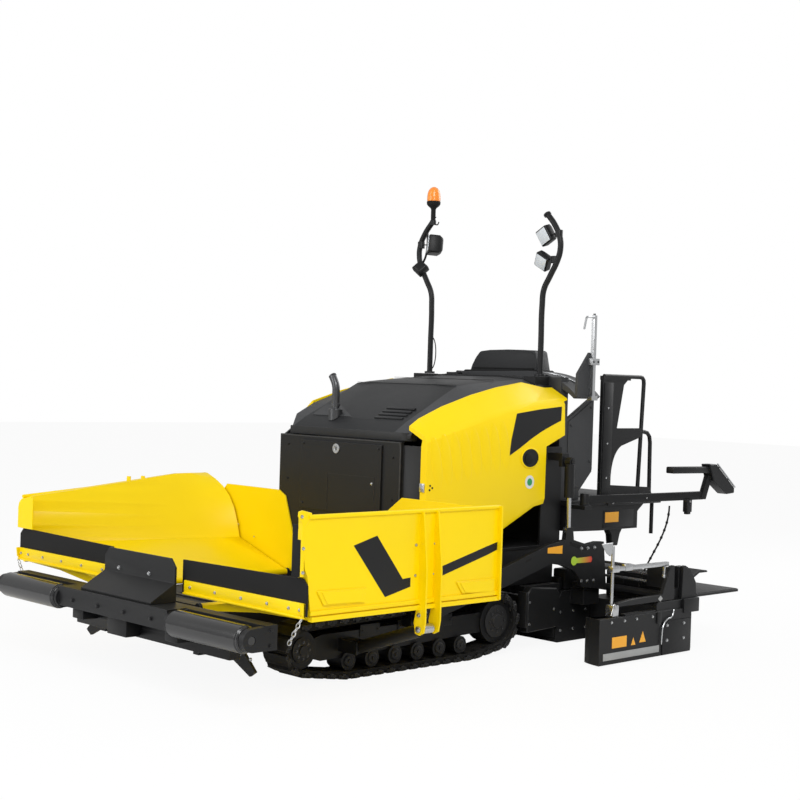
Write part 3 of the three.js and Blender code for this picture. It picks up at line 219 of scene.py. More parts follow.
# color and deep are the two ends of the slow drift; wear is the edge colour and worn its share
finishes = {
    "yellowEnamel": {"color": (0.94, 0.695, 0.0), "deep": (0.89, 0.625, 0.0), "rough": 0.34, "spread": 0.10,
                     "gloss": 0.20, "bump": 0.010, "grain": 170.0, "wear": (0.40, 0.30, 0.04), "worn": 0.12,
                     "coat": 0.05},
    "glossBlack": {"color": (0.0095, 0.0098, 0.0104), "deep": (0.0060, 0.0062, 0.0066), "rough": 0.20,
                   "spread": 0.10, "bump": 0.020, "grain": 200.0, "wear": (0.10, 0.10, 0.10), "worn": 0.5,
                   "dust": 0.02, "gloss": 0.50, "coat": 0.30},
    # a lighter copy of hoodPlastic for the hood's upward chamfer faces: a painted highlight
    "hoodChamferHighlight": {"color": (0.052, 0.054, 0.057), "deep": (0.034, 0.035, 0.037), "rough": 0.46, "spread": 0.16,
                 "bump": 0.120, "grain": 420.0, "wear": (0.12, 0.12, 0.12), "worn": 0.40, "gloss": 0.32},
    "blackEnamel": {"color": (0.0110, 0.0114, 0.0122), "deep": (0.0065, 0.0068, 0.0074), "rough": 0.42,
                    "spread": 0.16, "bump": 0.030, "grain": 260.0, "wear": (0.085, 0.085, 0.09), "worn": 0.55,
                    "dust": 0.03, "gloss": 0.26},
    "greyEnamel": {"color": (0.040, 0.0415, 0.044), "deep": (0.028, 0.029, 0.031), "rough": 0.44,
                   "spread": 0.14, "bump": 0.025, "grain": 260.0, "wear": (0.14, 0.14, 0.145), "worn": 0.45,
                   "dust": 0.03, "gloss": 0.30},
    "hoodPlastic": {"color": (0.020, 0.021, 0.0225), "deep": (0.012, 0.0125, 0.0135), "rough": 0.46,
                    "spread": 0.12, "bump": 0.080, "grain": 420.0, "wear": (0.07, 0.07, 0.07), "worn": 0.40,
                    "dust": 0.02, "gloss": 0.28},
    "blackRubber": {"color": (0.0100, 0.0100, 0.0104), "deep": (0.0060, 0.0060, 0.0060), "rough": 0.72,
                    "spread": 0.18, "bump": 0.110, "grain": 150.0, "wear": (0.045, 0.045, 0.045), "worn": 0.40,
                    "dust": 0.06, "gloss": 0.22},
    "bareSteel": {"color": (0.60, 0.61, 0.62), "deep": (0.44, 0.45, 0.46), "rough": 0.26, "spread": 0.16,
                  "bump": 0.020, "grain": 320.0, "wear": (0.72, 0.72, 0.72), "worn": 0.4, "metal": 0.95},
    "darkSteel": {"color": (0.110, 0.112, 0.116), "deep": (0.060, 0.061, 0.064), "rough": 0.34, "spread": 0.18,
                  "bump": 0.030, "grain": 300.0, "wear": (0.30, 0.30, 0.31), "worn": 0.5, "metal": 0.85},
    "wornPlate": {"color": (0.50, 0.51, 0.50), "deep": (0.26, 0.265, 0.265), "rough": 0.42, "spread": 0.20,
                  "bump": 0.060, "grain": 120.0, "wear": (0.30, 0.30, 0.30), "worn": 0.6, "metal": 0.5},
    "trackSteel": {"color": (0.034, 0.034, 0.035), "deep": (0.014, 0.014, 0.0145), "rough": 0.46,
                   "spread": 0.24, "bump": 0.120, "grain": 110.0, "wear": (0.20, 0.20, 0.205), "worn": 0.8,
                   "dust": 0.03, "metal": 0.5},
    "castIron": {"color": (0.026, 0.026, 0.027), "deep": (0.012, 0.012, 0.0125), "rough": 0.55, "spread": 0.20,
                 "bump": 0.160, "grain": 90.0, "wear": (0.16, 0.16, 0.165), "worn": 0.6, "dust": 0.05,
                 "metal": 0.35},
    "wornFloor": {"color": (0.055, 0.053, 0.050), "deep": (0.025, 0.024, 0.023), "rough": 0.50, "spread": 0.22,
                  "bump": 0.080, "grain": 60.0, "wear": (0.36, 0.35, 0.34), "worn": 0.8, "dust": 0.10,
                  "metal": 0.5},
    # near-black patches: painted shade in slots, louvre gaps and the exhaust's mouth; also the hood's dark joint lines
    "jointAndShadeBlack": {"color": (0.004, 0.004, 0.004), "deep": (0.002, 0.002, 0.002), "rough": 0.80, "spread": 0.1,
                "bump": 0.050, "grain": 120.0, "wear": (0.01, 0.01, 0.01), "worn": 0.1},
    "orangePlate": {"color": (0.92, 0.44, 0.025), "deep": (0.84, 0.36, 0.020), "rough": 0.34, "spread": 0.10,
                    "bump": 0.006, "grain": 200.0, "wear": (0.40, 0.16, 0.06), "worn": 0.2, "dust": 0.03},
    "palePlate": {"color": (0.74, 0.75, 0.74), "deep": (0.64, 0.65, 0.64), "rough": 0.30, "spread": 0.10,
                  "bump": 0.006, "grain": 200.0, "wear": (0.4, 0.4, 0.4), "worn": 0.2, "dust": 0.03},
    "greenDot": {"color": (0.03, 0.34, 0.10), "deep": (0.02, 0.26, 0.08), "rough": 0.34, "spread": 0.08,
                 "bump": 0.006, "grain": 200.0, "wear": (0.1, 0.2, 0.1), "worn": 0.1, "dust": 0.02},
    "lampGlass": {"color": (0.72, 0.76, 0.80), "deep": (0.52, 0.56, 0.60), "rough": 0.12, "spread": 0.10,
                  "bump": 0.050, "grain": 60.0, "wear": (0.7, 0.7, 0.7), "worn": 0.1, "coat": 0.6},
}


def makeFinish(name, values):
    material = bpy.data.materials.new(name)
    material.use_nodes = True
    tree = material.node_tree
    shader = tree.nodes["Principled BSDF"]
    grain = useGroup(tree, surfaceGrain, Scale=values["grain"], Drift_Scale=2.4)
    color = mixColor(tree, grain.outputs["Drift"], values["deep"], values["color"])
    wear = useGroup(tree, edgeWear, Width=0.005, Amount=values["worn"])
    color = mixColor(tree, wear.outputs["Mask"], color, values["wear"])
    rough = mathNode(tree, "MULTIPLY_ADD", grain.outputs["Drift"], values["spread"])
    rough.node.inputs[2].default_value = values["rough"] - values["spread"] * 0.5
    if "dust" in values:
        dust = useGroup(tree, roadDust, Amount=values["dust"], Ceiling=1.1)
        color = mixColor(tree, dust.outputs["Mask"], color, (0.34, 0.32, 0.29))
        rough = mathNode(tree, "ADD", rough, mathNode(tree, "MULTIPLY", dust.outputs["Mask"], 0.5), clamp=True)
    tree.links.new(color, shader.inputs["Base Color"])
    tree.links.new(rough, shader.inputs["Roughness"])
    bump = tree.nodes.new("ShaderNodeBump")
    bump.inputs["Strength"].default_value = 0.6
    bump.inputs["Distance"].default_value = values["bump"] * 0.01
    tree.links.new(grain.outputs["Height"], bump.inputs["Height"])
    tree.links.new(bump.outputs[0], shader.inputs["Normal"])
    shader.inputs["Metallic"].default_value = values.get("metal", 0.0)
    shader.inputs["Coat Weight"].default_value = values.get("coat", 0.0)
    shader.inputs["Coat Roughness"].default_value = 0.12
    shader.inputs["Specular IOR Level"].default_value = values.get("gloss", 0.4)
    return material


finish = {name: makeFinish(name, values) for name, values in finishes.items()}


def amberMaterial():
    material = bpy.data.materials.new("amberLens")
    material.use_nodes = True
    tree = material.node_tree
    shader = tree.nodes["Principled BSDF"]
    drift = noiseNode(tree, 14.0, 3.0)
    tree.links.new(mixColor(tree, drift, (0.98, 0.24, 0.01), (1.0, 0.34, 0.03)), shader.inputs["Base Color"])
    ribs = tree.nodes.new("ShaderNodeTexWave")
    ribs.bands_direction = "Z"
    ribs.inputs["Scale"].default_value = 34.0
    tree.links.new(tree.nodes.new("ShaderNodeTexCoord").outputs["Object"], ribs.inputs["Vector"])
    bump = tree.nodes.new("ShaderNodeBump")
    bump.inputs["Strength"].default_value = 0.5
    bump.inputs["Distance"].default_value = 0.002
    tree.links.new(ribs.outputs["Fac"], bump.inputs["Height"])
    tree.links.new(bump.outputs[0], shader.inputs["Normal"])
    rough = mathNode(tree, "MULTIPLY_ADD", drift, 0.12)
    rough.node.inputs[2].default_value = 0.10
    tree.links.new(rough, shader.inputs["Roughness"])
    shader.inputs["Coat Weight"].default_value = 0.6
    return material


def gradientMaterial(name, low, high, start, end):
    # a sticker whose colour runs along the machine
    material = bpy.data.materials.new(name)
    material.use_nodes = True
    tree = material.node_tree
    shader = tree.nodes["Principled BSDF"]
    split = tree.nodes.new("ShaderNodeSeparateXYZ")
    tree.links.new(tree.nodes.new("ShaderNodeTexCoord").outputs["Object"], split.inputs[0])
    span = tree.nodes.new("ShaderNodeMapRange")
    span.inputs["From Min"].default_value = start
    span.inputs["From Max"].default_value = end
    tree.links.new(split.outputs["X"], span.inputs["Value"])
    tree.links.new(mixColor(tree, span.outputs[0], low, high), shader.inputs["Base Color"])
    rough = mathNode(tree, "MULTIPLY_ADD", noiseNode(tree, 8.0), 0.12)
    rough.node.inputs[2].default_value = 0.28
    tree.links.new(rough, shader.inputs["Roughness"])
    return material


def treadMaterial():
    # chequer plate: two crossed sets of short raised bars
    material = makeFinish("treadSteel", finishes["blackEnamel"])
    tree = material.node_tree
    place = tree.nodes.new("ShaderNodeTexCoord").outputs["Object"]
    bars = []
    for turn in (45.0, -45.0):
        mapping = tree.nodes.new("ShaderNodeMapping")
        mapping.inputs["Rotation"].default_value = (0.0, 0.0, math.radians(turn))
        tree.links.new(place, mapping.inputs["Vector"])
        wave = tree.nodes.new("ShaderNodeTexWave")
        wave.inputs["Scale"].default_value = 12.0
        tree.links.new(mapping.outputs[0], wave.inputs["Vector"])
        bars.append(mathNode(tree, "POWER", wave.outputs["Fac"], 3.0))
    raised = mathNode(tree, "MAXIMUM", *bars)
    bump = tree.nodes["Bump"]
    bump.inputs["Strength"].default_value = 0.9
    bump.inputs["Distance"].default_value = 0.002
    tree.links.new(raised, bump.inputs["Height"])
    return material


finish["amberLens"] = amberMaterial()
finish["treadSteel"] = treadMaterial()
finish["stripSticker"] = gradientMaterial("stripSticker", (0.70, 0.05, 0.03), (0.42, 0.62, 0.05), -1.235, -1.060)
print("materials built:", len(finish))


# mesh helpers

def linkedEdges(verts):
    # each edge once, always in the same order
    return list(dict.fromkeys(edge for vert in verts for edge in vert.link_edges))


def linkedFaces(verts):
    return list(dict.fromkeys(face for vert in verts for face in vert.link_faces))


def addObject(name, mesh, look, body):
    mesh.materials.clear()
    mesh.materials.append(finish[look])
    made = bpy.data.objects.new(name, mesh)
    bpy.context.scene.collection.objects.link(made)
    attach(made, body)
    return made


def finishPiece(name, bm, look, body, angle=32.0):
    bmesh.ops.remove_doubles(bm, verts=bm.verts, dist=1e-6)
    bmesh.ops.recalc_face_normals(bm, faces=bm.faces)
    mesh = bpy.data.meshes.new(name)
    bm.to_mesh(mesh)
    bm.free()
    mesh.shade_smooth()
    mesh.set_sharp_from_angle(angle=math.radians(angle))
    return addObject(name, mesh, look, body)


def bevelEdges(bm, edges, width, segments=2):
    bmesh.ops.bevel(bm, geom=edges, offset=width, offset_type="OFFSET", affect="EDGES", segments=segments,
                    profile=0.5, material=-1, clamp_overlap=True)


def addBox(bm, low, high, bevel=0.003, turn=None):
    low, high = Vector(low), Vector(high)
    size = high - low
    place = Matrix.Translation((low + high) / 2)
    if turn:
        place = place @ turn
    made = bmesh.ops.create_cube(bm, size=1.0, matrix=place @ Matrix.Diagonal((*size, 1.0)))
    if bevel:
        edges = linkedEdges(made["verts"])
        bevelEdges(bm, edges, min(bevel, min(size) * 0.3))


def toward(axis):
    return Vector(axis).to_track_quat("Z", "Y").to_matrix().to_4x4()


def addDisc(bm, centre, axis, radius, height, segments=20, bevel=0.002, taper=1.0):
    # stands on its centre point and rises along the axis
    place = Matrix.Translation(centre) @ toward(axis) @ Matrix.Translation((0, 0, height / 2))
    made = bmesh.ops.create_cone(bm, cap_ends=True, segments=segments, radius1=radius, radius2=radius * taper,
                                 depth=height, matrix=place)
    if bevel:
        up = Vector(axis).normalized()
        top = Vector(centre) + up * height
        rim = [edge for edge in linkedEdges(made["verts"])
               if all(abs((v.co - top).dot(up)) < 1e-5 for v in edge.verts)]
        bevelEdges(bm, rim, bevel)


def addBolt(bm, centre, axis, size=0.012):
    up = Vector(axis).normalized()
    addDisc(bm, centre, axis, size * 1.25, size * 0.22, 14, 0.0)
    addDisc(bm, Vector(centre) + up * size * 0.22, axis, size, size * 0.72, 6, size * 0.15)


def addPlate(bm, outline, axis, start, end, bevel=0.002):
    # outline is (y, z) for x, (x, z) for y, (x, y) for z
    def place(u, v, w):
        return {"x": (w, u, v), "y": (u, w, v), "z": (u, v, w)}[axis]
    verts = [bm.verts.new(place(u, v, start)) for u, v in outline]
    face = bm.faces.new(verts)
    grown = bmesh.ops.extrude_face_region(bm, geom=[face])
    moved = [item for item in grown["geom"] if isinstance(item, bmesh.types.BMVert)]
    bmesh.ops.translate(bm, verts=moved, vec=Vector(place(0, 0, end - start)))
    if bevel:
        edges = linkedEdges(verts + moved)
        bevelEdges(bm, edges, min(bevel, abs(end - start) * 0.35), 1)


def addTube(bm, points, radius, resolution=4):
    curve = bpy.data.curves.new("tube", "CURVE")
    curve.dimensions = "3D"
    curve.bevel_depth = radius
    curve.bevel_resolution = resolution
    curve.use_fill_caps = True
    spline = curve.splines.new("BEZIER")
    spline.bezier_points.add(len(points) - 1)
    for handle, point in zip(spline.bezier_points, points):
        handle.co = point
        handle.handle_left_type = handle.handle_right_type = "AUTO"
    spline.resolution_u = 8
    holder = bpy.data.objects.new("tube", curve)
    bpy.context.scene.collection.objects.link(holder)
    mesh = bpy.data.meshes.new_from_object(holder)
    bm.from_mesh(mesh)
    bpy.data.objects.remove(holder)
    bpy.data.curves.remove(curve)
    bpy.data.meshes.remove(mesh)


def mirrored(side, point):
    return Vector((point[0], point[1] * side, point[2]))


sides = {"left": 1.0, "right": -1.0}


# carried-over solids, each a merged copy with its edges broken

refinement = {
    "bevel": 0.0035,
    "angle": 32.0,
    "hoodCrease": 0.545,
    "looks": {
        "main_frame": "blackEnamel", "conveyor_floor": "wornFloor", "engine_block": "castIron",
        "centre_apron": "blackEnamel", "push_beam": "blackEnamel", "engine_housing": "blackEnamel",
        "hood": "hoodPlastic", "exhaust_pipe": "darkSteel", "service_door": "blackEnamel", "platform": "blackEnamel",
        "operator_console": "greyEnamel", "screed_main": "blackEnamel", "crank_post_left": "bareSteel",
    },
    "pairLooks": {
        "track": "blackRubber", "track_frame": "blackEnamel", "hopper_wing": "yellowEnamel",
        "front_flap": "blackRubber", "hopper_back": "yellowEnamel", "push_roller": "glossBlack",
        "wing_cylinder": "blackEnamel", "wing_rod": "bareSteel", "side_panel": "yellowEnamel",
        "guard_rail": "blackEnamel", "tow_arm": "blackEnamel", "lift_cylinder": "blackEnamel", "lift_rod": "bareSteel",
        "screed_extension": "blackEnamel", "end_plate": "blackEnamel", "auger": "castIron",
    },
    "wide": {"hood": 0.008, "side_panel_left": 0.007, "side_panel_right": 0.007, "push_beam": 0.006,
             "front_flap_left": 0.003, "front_flap_right": 0.003, "auger_left": 0.0015, "auger_right": 0.0015},
}


def refineNode(node, look):
    bm = bmesh.new()
    bm.from_mesh(cadNodes[node].data)
    bmesh.ops.remove_doubles(bm, verts=bm.verts, dist=2e-5)
    bmesh.ops.dissolve_limit(bm, angle_limit=math.radians(1.0), verts=bm.verts, edges=bm.edges)
    name = node + "_shell"
    made = finishPiece(name, bm, look, cadNodes[node]["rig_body"], refinement["angle"])
    bevel = made.modifiers.new("softEdges", "BEVEL")
    bevel.width = refinement["wide"].get(node, refinement["bevel"])
    bevel.segments = 2
    bevel.limit_method = "ANGLE"
    bevel.angle_limit = math.radians(30.0)
    bevel.harden_normals = True
    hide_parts(node)
    return made


def paintChamferHighlight(made, look, inner):
    # the upward faces outside the creases get a lighter copy of the hood plastic: a painted highlight on the chamfer
    # band
    made.data.materials.append(finish[look])
    for face in made.data.polygons:
        if abs(face.center.y) > inner and face.normal.z > 0.2:
            face.material_index = 1


looks = dict(refinement["looks"])
for side in sides:
    looks.update({f"{node}_{side}": look for node, look in refinement["pairLooks"].items()})
for node, look in looks.items():
    made = refineNode(node, look)
    if node == "hood":
        paintChamferHighlight(made, "hoodChamferHighlight", refinement["hoodCrease"])
print("solids refined:", len(looks))


# more mesh helpers

def addSlab(bm, spanX, spanY, spanZ, side=1.0, bevel=0.003, turn=None):
    # spans are (start, end); a side of -1 puts the slab on the machine's right
    first, second = sorted((spanY[0] * side, spanY[1] * side))
    addBox(bm, (spanX[0], first, spanZ[0]), (spanX[1], second, spanZ[1]), bevel, turn)


def addBeam(bm, start, end, width, height, bevel=0.003):
    start, end = Vector(start), Vector(end)
    along = (end - start).normalized()
    across = Vector((0, 0, 1)).cross(along).normalized()
    up = along.cross(across)
    turn = Matrix((along, across, up)).transposed().to_4x4()
    half = Vector(((end - start).length, width, height)) / 2
    middle = (start + end) / 2
    addBox(bm, middle - half, middle + half, bevel, turn)


def addTurned(bm, profile, centre, axis=(0, 0, 1), steps=28):
    # (radius, height) pairs turned round the axis
    turn = toward(axis)
    verts = [bm.verts.new(Vector(centre) + turn @ Vector((radius, 0, height))) for radius, height in profile]
    edges = [bm.edges.new(pair) for pair in zip(verts, verts[1:])]
    bmesh.ops.spin(bm, geom=verts + edges, cent=Vector(centre), axis=turn.to_3x3() @ Vector((0, 0, 1)), steps=steps,
                   angle=math.tau, use_merge=True, use_duplicate=False)


def addRing(bm, centre, axis, outer, inner, height, steps=24):
    profile = [(inner, 0), (outer, 0), (outer, height * 0.8), (outer - height * 0.2, height), (inner, height),
               (inner, 0)]
    addTurned(bm, profile, centre, axis, steps)


def addLink(bm, centre, turn, length, radius):
    # one chain link: a small stadium ring
    bend = length * 0.3
    corners = [Vector((bend * math.cos(a), 0, bend * math.sin(a) + (length / 2 - bend) * (1 if a < math.pi else -1)))
               for a in [math.pi * k / 4 + math.pi / 8 for k in range(8)]]
    addTube(bm, [Vector(centre) + turn @ c for c in corners + corners[:1]], radius, 1)


# hanging cables

def cablePath(start, startWay, end, endWay, count):
    # one smooth curve that leaves and arrives along the given ways
    a, d = Vector(start), Vector(end)
    b, c = a + Vector(startWay), d + Vector(endWay)
    steps = [index / (count - 1) for index in range(count)]
    return [a * (1 - t) ** 3 + b * 3 * t * (1 - t) ** 2 + c * 3 * t * t * (1 - t) + d * t ** 3 for t in steps]


panelCable = {
    "start": (-1.820, 1.305, 1.0630),
    "startWay": (0.0, 0.0, -0.300),
    "endX": {"left": -1.575, "right": -1.515},
    "endY": 1.220,
    "endZ": 0.3310,
    "endWay": (0.050, 0.0, 0.270),
    "points": 25,
    "diameter": 0.014,
    "sleeves": 13,
    "sleeve": [(0.0068, -0.011), (0.0098, -0.006), (0.0102, 0.0), (0.0098, 0.006), (0.0068, 0.011)],
}


def buildCable(name, points, diameter, body):
    curve = bpy.data.curves.new(name, "CURVE")
    curve.dimensions = "3D"
    curve.bevel_depth = diameter / 2
    curve.bevel_resolution = 3
    curve.use_fill_caps = True
    spline = curve.splines.new("POLY")
    spline.points.add(len(points) - 1)
    for knot, point in zip(spline.points, points):
        knot.co = (*point, 1.0)
    curve.materials.append(finish["blackRubber"])
    cable = bpy.data.objects.new(name, curve)
    bpy.context.scene.collection.objects.link(cable)
    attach(cable, body)
    return cable


def buildPanelCable(name, side, values):
    body = f"panel_arm_{name}"
    end = (values["endX"][name], values["endY"] * side, values["endZ"])
    points = cablePath(mirrored(side, values["start"]), values["startWay"], end, values["endWay"], values["points"])
    bm = bmesh.new()
    count = values["sleeves"]
    for index in range(1, count):
        spot = index * (len(points) - 1) / count
        here = points[int(spot)].lerp(points[int(spot) + 1], spot % 1)
        way = (points[int(spot) + 1] - points[int(spot)]).normalized()
        addTurned(bm, values["sleeve"], here, way, 12)
    wrap = finishPiece(f"panel_cable_wrap_{name}", bm, "blackRubber", body)
    buildCable(f"panel_cable_{name}", points, values["diameter"], body)


def buildMastLoop(values):
    loop = values["loop"]
    low, high = loop["ends"]
    surface = -0.600 + values["radius"]
    away = loop["bulge"] * 4 / 3
    x = values["x"]
    points = cablePath((x, surface, high), (0, away, -0.03), (x, surface, low), (0, away, 0.03), loop["points"])
    buildCable("mast_cable", points, loop["diameter"], "chassis")


for name, side in sides.items():
    buildPanelCable(name, side, panelCable)
print("cables built")


# beacon

beaconLamp = {
    "foot": (-1.06, -0.615, 3.3005),
    "base": [(0.0, 0.0), (0.020, 0.0), (0.020, 0.088), (0.026, 0.100), (0.046, 0.116), (0.056, 0.130), (0.058, 0.150),
             (0.052, 0.158), (0.0, 0.158)],
    "dome": [(0.0, 0.156), (0.0535, 0.156), (0.0560, 0.166), (0.0555, 0.195), (0.0520, 0.222), (0.0440, 0.246),
             (0.0300, 0.264), (0.0140, 0.273), (0.0, 0.2755)],
    "clip": (0.028, 0.012),
}


def buildBeacon(values):
    bm = bmesh.new()
    addTurned(bm, values["base"], values["foot"])
    width, rise = values["clip"]
    foot = Vector(values["foot"])
    addBeam(bm, foot + Vector((0, 0.005, rise)), foot + Vector((0, 0.005 + width, rise + 0.012)), 0.010, 0.006, 0.001)
    base = finishPiece("beacon_base", bm, "blackRubber", "chassis")
    bm = bmesh.new()
    addTurned(bm, values["dome"], values["foot"], steps=32)
    dome = finishPiece("beacon_dome", bm, "amberLens", "chassis", 50)
    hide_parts("beacon")
    return base


buildBeacon(beaconLamp)
print("beacon built")


# light masts

lightMast = {
    "path": [(0.600, 2.0335), (0.600, 2.30), (0.600, 2.58), (0.612, 2.70), (0.668, 2.80), (0.738, 2.92), (0.763, 3.00),
             (0.757, 3.09), (0.705, 3.19), (0.622, 3.284)],
    "x": -1.06,
    "radius": 0.0225,
    "foot": (0.042, 0.016),
    "lamps": {
        "left": [((-1.075, 0.600, 3.118), 0.132, 0.060, 24.0, (-6.0, 16.0)),
                 ((-1.060, 0.592, 2.920), 0.124, 0.055, -34.0, (-6.0, 22.0))],
        "right": [((-1.045, -0.590, 3.092), 0.150, 0.090, 8.0, (-40.0, -4.0)),
                  ((-1.040, -0.722, 2.900), 0.104, 0.052, 42.0, (-150.0, 24.0))],
    },
    "strut": ((0.735, 2.93), (0.690, 3.00), (0.672, 3.10), (0.676, 3.20)),
    "loop": {"ends": (2.070, 2.330), "bulge": 0.042, "diameter": 0.009, "points": 17},
}


def buildLamp(body, glass, centre, size, depth, spin, aim):
    # the lamp looks along its own +X, then is spun and aimed
    turn = (Matrix.Rotation(math.radians(aim[0]), 4, "Z") @ Matrix.Rotation(math.radians(aim[1]), 4, "Y")
            @ Matrix.Rotation(math.radians(spin), 4, "X"))
    base = Matrix.Translation(centre) @ turn
    case = bmesh.ops.create_cube(body, size=1.0, matrix=base @ Matrix.Diagonal((depth, size, size, 1.0)))
    back = [face for face in linkedFaces(case["verts"])
            if (face.calc_center_median() - Vector(centre)).dot(turn @ Vector((-1, 0, 0))) > depth * 0.45]
    bmesh.ops.inset_region(body, faces=back, thickness=size * 0.20, depth=size * 0.22)
    edges = linkedEdges(case["verts"])
    bevelEdges(body, edges, size * 0.10, 3)
    for step in (-0.28, -0.14, 0.0, 0.14, 0.28):  # cooling fins
        fin = base @ Matrix.Translation((-depth * 0.55 - size * 0.06, step * size, 0))
        finSize = Matrix.Diagonal((size * 0.22, size * 0.03, size * 0.62, 1.0))
        bmesh.ops.create_cube(body, size=1.0, matrix=fin @ finSize)
    rim = base @ Matrix.Translation((depth / 2, 0, 0))
    pane = bmesh.ops.create_cube(glass, size=1.0, matrix=rim @ Matrix.Diagonal((0.008, size * 0.82, size * 0.82, 1.0)))
    bevelEdges(glass, linkedEdges(pane["verts"]), size * 0.012)


def buildMast(name, side, values):
    bm = bmesh.new()
    glass = bmesh.new()
    x = values["x"]
    addTube(bm, [(x, y * side, z) for y, z in values["path"]], values["radius"], 5)
    radius, rise = values["foot"]
    addDisc(bm, (x, 0.600 * side, 2.0335), (0, 0, 1), radius, rise, 24)
    for spot in ((0.026, 0.0), (-0.026, 0.0)):
        addBolt(bm, (x + spot[0], 0.600 * side + spot[1], 2.0335 + rise), (0, 0, 1), 0.005)
    if name == "left":
        addDisc(bm, (x, 0.628, 3.272), (0, -0.62, 0.78), 0.030, 0.016, 20, 0.003)
    else:
        addTube(bm, [(x, y * side, z) for y, z in values["strut"]], 0.009, 3)
        addDisc(bm, (x, -0.615, 3.262), (0, 0, 1), 0.026, 0.037, 20)
        addTube(bm, [(x, -0.600, 3.27), (x - 0.014, -0.580, 3.262), (x - 0.020, -0.566, 3.285)], 0.005, 2)
    for centre, size, depth, spin, aim in values["lamps"][name]:
        buildLamp(bm, glass, centre, size, depth, spin, aim)
        reach = Vector((x, (0.745 if centre[2] > 3.0 else 0.712) * side, centre[2] + 0.01))
        addBeam(bm, Vector(centre), reach, 0.022, 0.008, 0.001)
        addDisc(bm, reach - Vector((0, 0, 0.03)), (0, 0, 1), values["radius"] + 0.007, 0.055, 20)
    mast = finishPiece(f"mast_{name}", bm, "blackEnamel", "chassis", 38)
    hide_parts(f"light_mast_{name}")
    finishPiece(f"mast_glass_{name}", glass, "lampGlass", "chassis")


for name, side in sides.items():
    buildMast(name, side, lightMast)
buildMastLoop(lightMast)
print("masts built")


# control panels on their swinging arms

panelBox = {
    "pivot": (-1.16, 1.0, 1.0645),
    "pivotRadius": 0.036,
    "beam": [(-1.16, 1.0, 1.108), (-1.62, 1.208, 1.124), (-2.085, 1.420, 1.145)],
    "beamSize": (0.050, 0.062),
    "post": [(-2.075, 1.425, 1.12), (-2.13, 1.44, 1.30)],
    "head": [(-2.075, 1.391), (-2.165, 1.391), (-2.418, 1.200), (-2.418, 1.158), (-2.310, 1.152), (-2.130, 1.262)],
    "headSpan": (1.405, 1.495),
    "shelf": [(-1.62, 1.442, 1.352), (-2.10, 1.442, 1.345)],
    "shelfSize": (0.075, 0.050),
    "knobs": [(0.18, 0.25), (0.18, 0.5), (0.18, 0.75), (0.42, 0.3), (0.42, 0.7), (0.68, 0.2), (0.68, 0.4), (0.68, 0.6),
              (0.68, 0.8), (0.88, 0.5)],
}


def buildPanel(name, side, values):
    body = f"panel_arm_{name}"
    bm = bmesh.new()
    addDisc(bm, mirrored(side, values["pivot"]), (0, 0, 1), values["pivotRadius"], 0.090, 24, 0.004)
    points = [mirrored(side, p) for p in values["beam"]]
    for start, end in zip(points, points[1:]):
        addBeam(bm, start, end, *values["beamSize"], 0.005)
    addBeam(bm, *[mirrored(side, p) for p in values["post"]], 0.050, 0.044, 0.005)
    addBeam(bm, *[mirrored(side, p) for p in values["shelf"]], *values["shelfSize"], 0.008)
    addSlab(bm, (-1.985, -1.925), (1.355, 1.400), (1.016, 1.118), side, 0.004)
    addSlab(bm, (-1.978, -1.932), (1.360, 1.395), (0.998, 1.018), side, 0.006)
    near, far = (y * side for y in values["headSpan"])
    addPlate(bm, values["head"], "y", near, far, 0.006)
    arm = finishPiece(f"panel_body_{name}", bm, "blackEnamel", body)
    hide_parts(f"control_panel_{name}")
    top, low = Vector((-2.165, 0, 1.391)), Vector((-2.418, 0, 1.200))
    out = Vector((-0.603, 0, 0.798))
    bm = bmesh.new()
    trim = bmesh.new()
    for along, across in values["knobs"]:
        spot = top.lerp(low, along)
        spot.y = near + (far - near) * across
        addDisc(bm, spot, out, 0.011, 0.012, 14, 0.002, 0.8)
    addBeam(bm, top.lerp(low, 0.3) + Vector((0, near * 0.5 + far * 0.5, 0)),
            top.lerp(low, 0.3) + out * 0.045 + Vector((0, near * 0.5 + far * 0.5, 0)), 0.008, 0.008, 0.002)
    finishPiece(f"panel_knobs_{name}", bm, "blackRubber", body)
    edge = [Vector((p.x, far + 0.002 * side, p.z)) + out * 0.004 for p in (top, low)]
    addBeam(trim, *edge, 0.010, 0.010, 0.002)
    addBolt(trim, mirrored(side, (-1.62, 1.236, 1.124)), (-0.41, 0.91 * side, 0), 0.007)
    addBolt(trim, mirrored(side, (-1.955, 1.401, 1.10)), (0, side, 0), 0.007)
    finishPiece(f"panel_trim_{name}", trim, "bareSteel", body)


for name, side in sides.items():
    buildPanel(name, side, panelBox)
print("control panels built")


# cover over the seat and controls, with its lip

consoleCap = {
    "outline": [(-0.325, 2.060), (-0.300, 2.120), (-0.262, 2.180), (-0.232, 2.212), (-0.200, 2.229), (-0.120, 2.238),
                (0.080, 2.243), (0.250, 2.241), (0.345, 2.232), (0.380, 2.215), (0.402, 2.170), (0.428, 2.060)],
    "span": (-1.395, -1.243),
    "lip": [(-0.345, 2.052), (-0.352, 2.066), (-0.335, 2.074), (0.435, 2.082), (0.452, 2.072), (0.445, 2.058)],
    "lipSpan": (-1.410, -1.205),
    "side": [(-1.505, 1.300), (-1.505, 1.890), (-1.202, 1.702), (-1.202, 1.152), (-1.355, 1.152)],
}


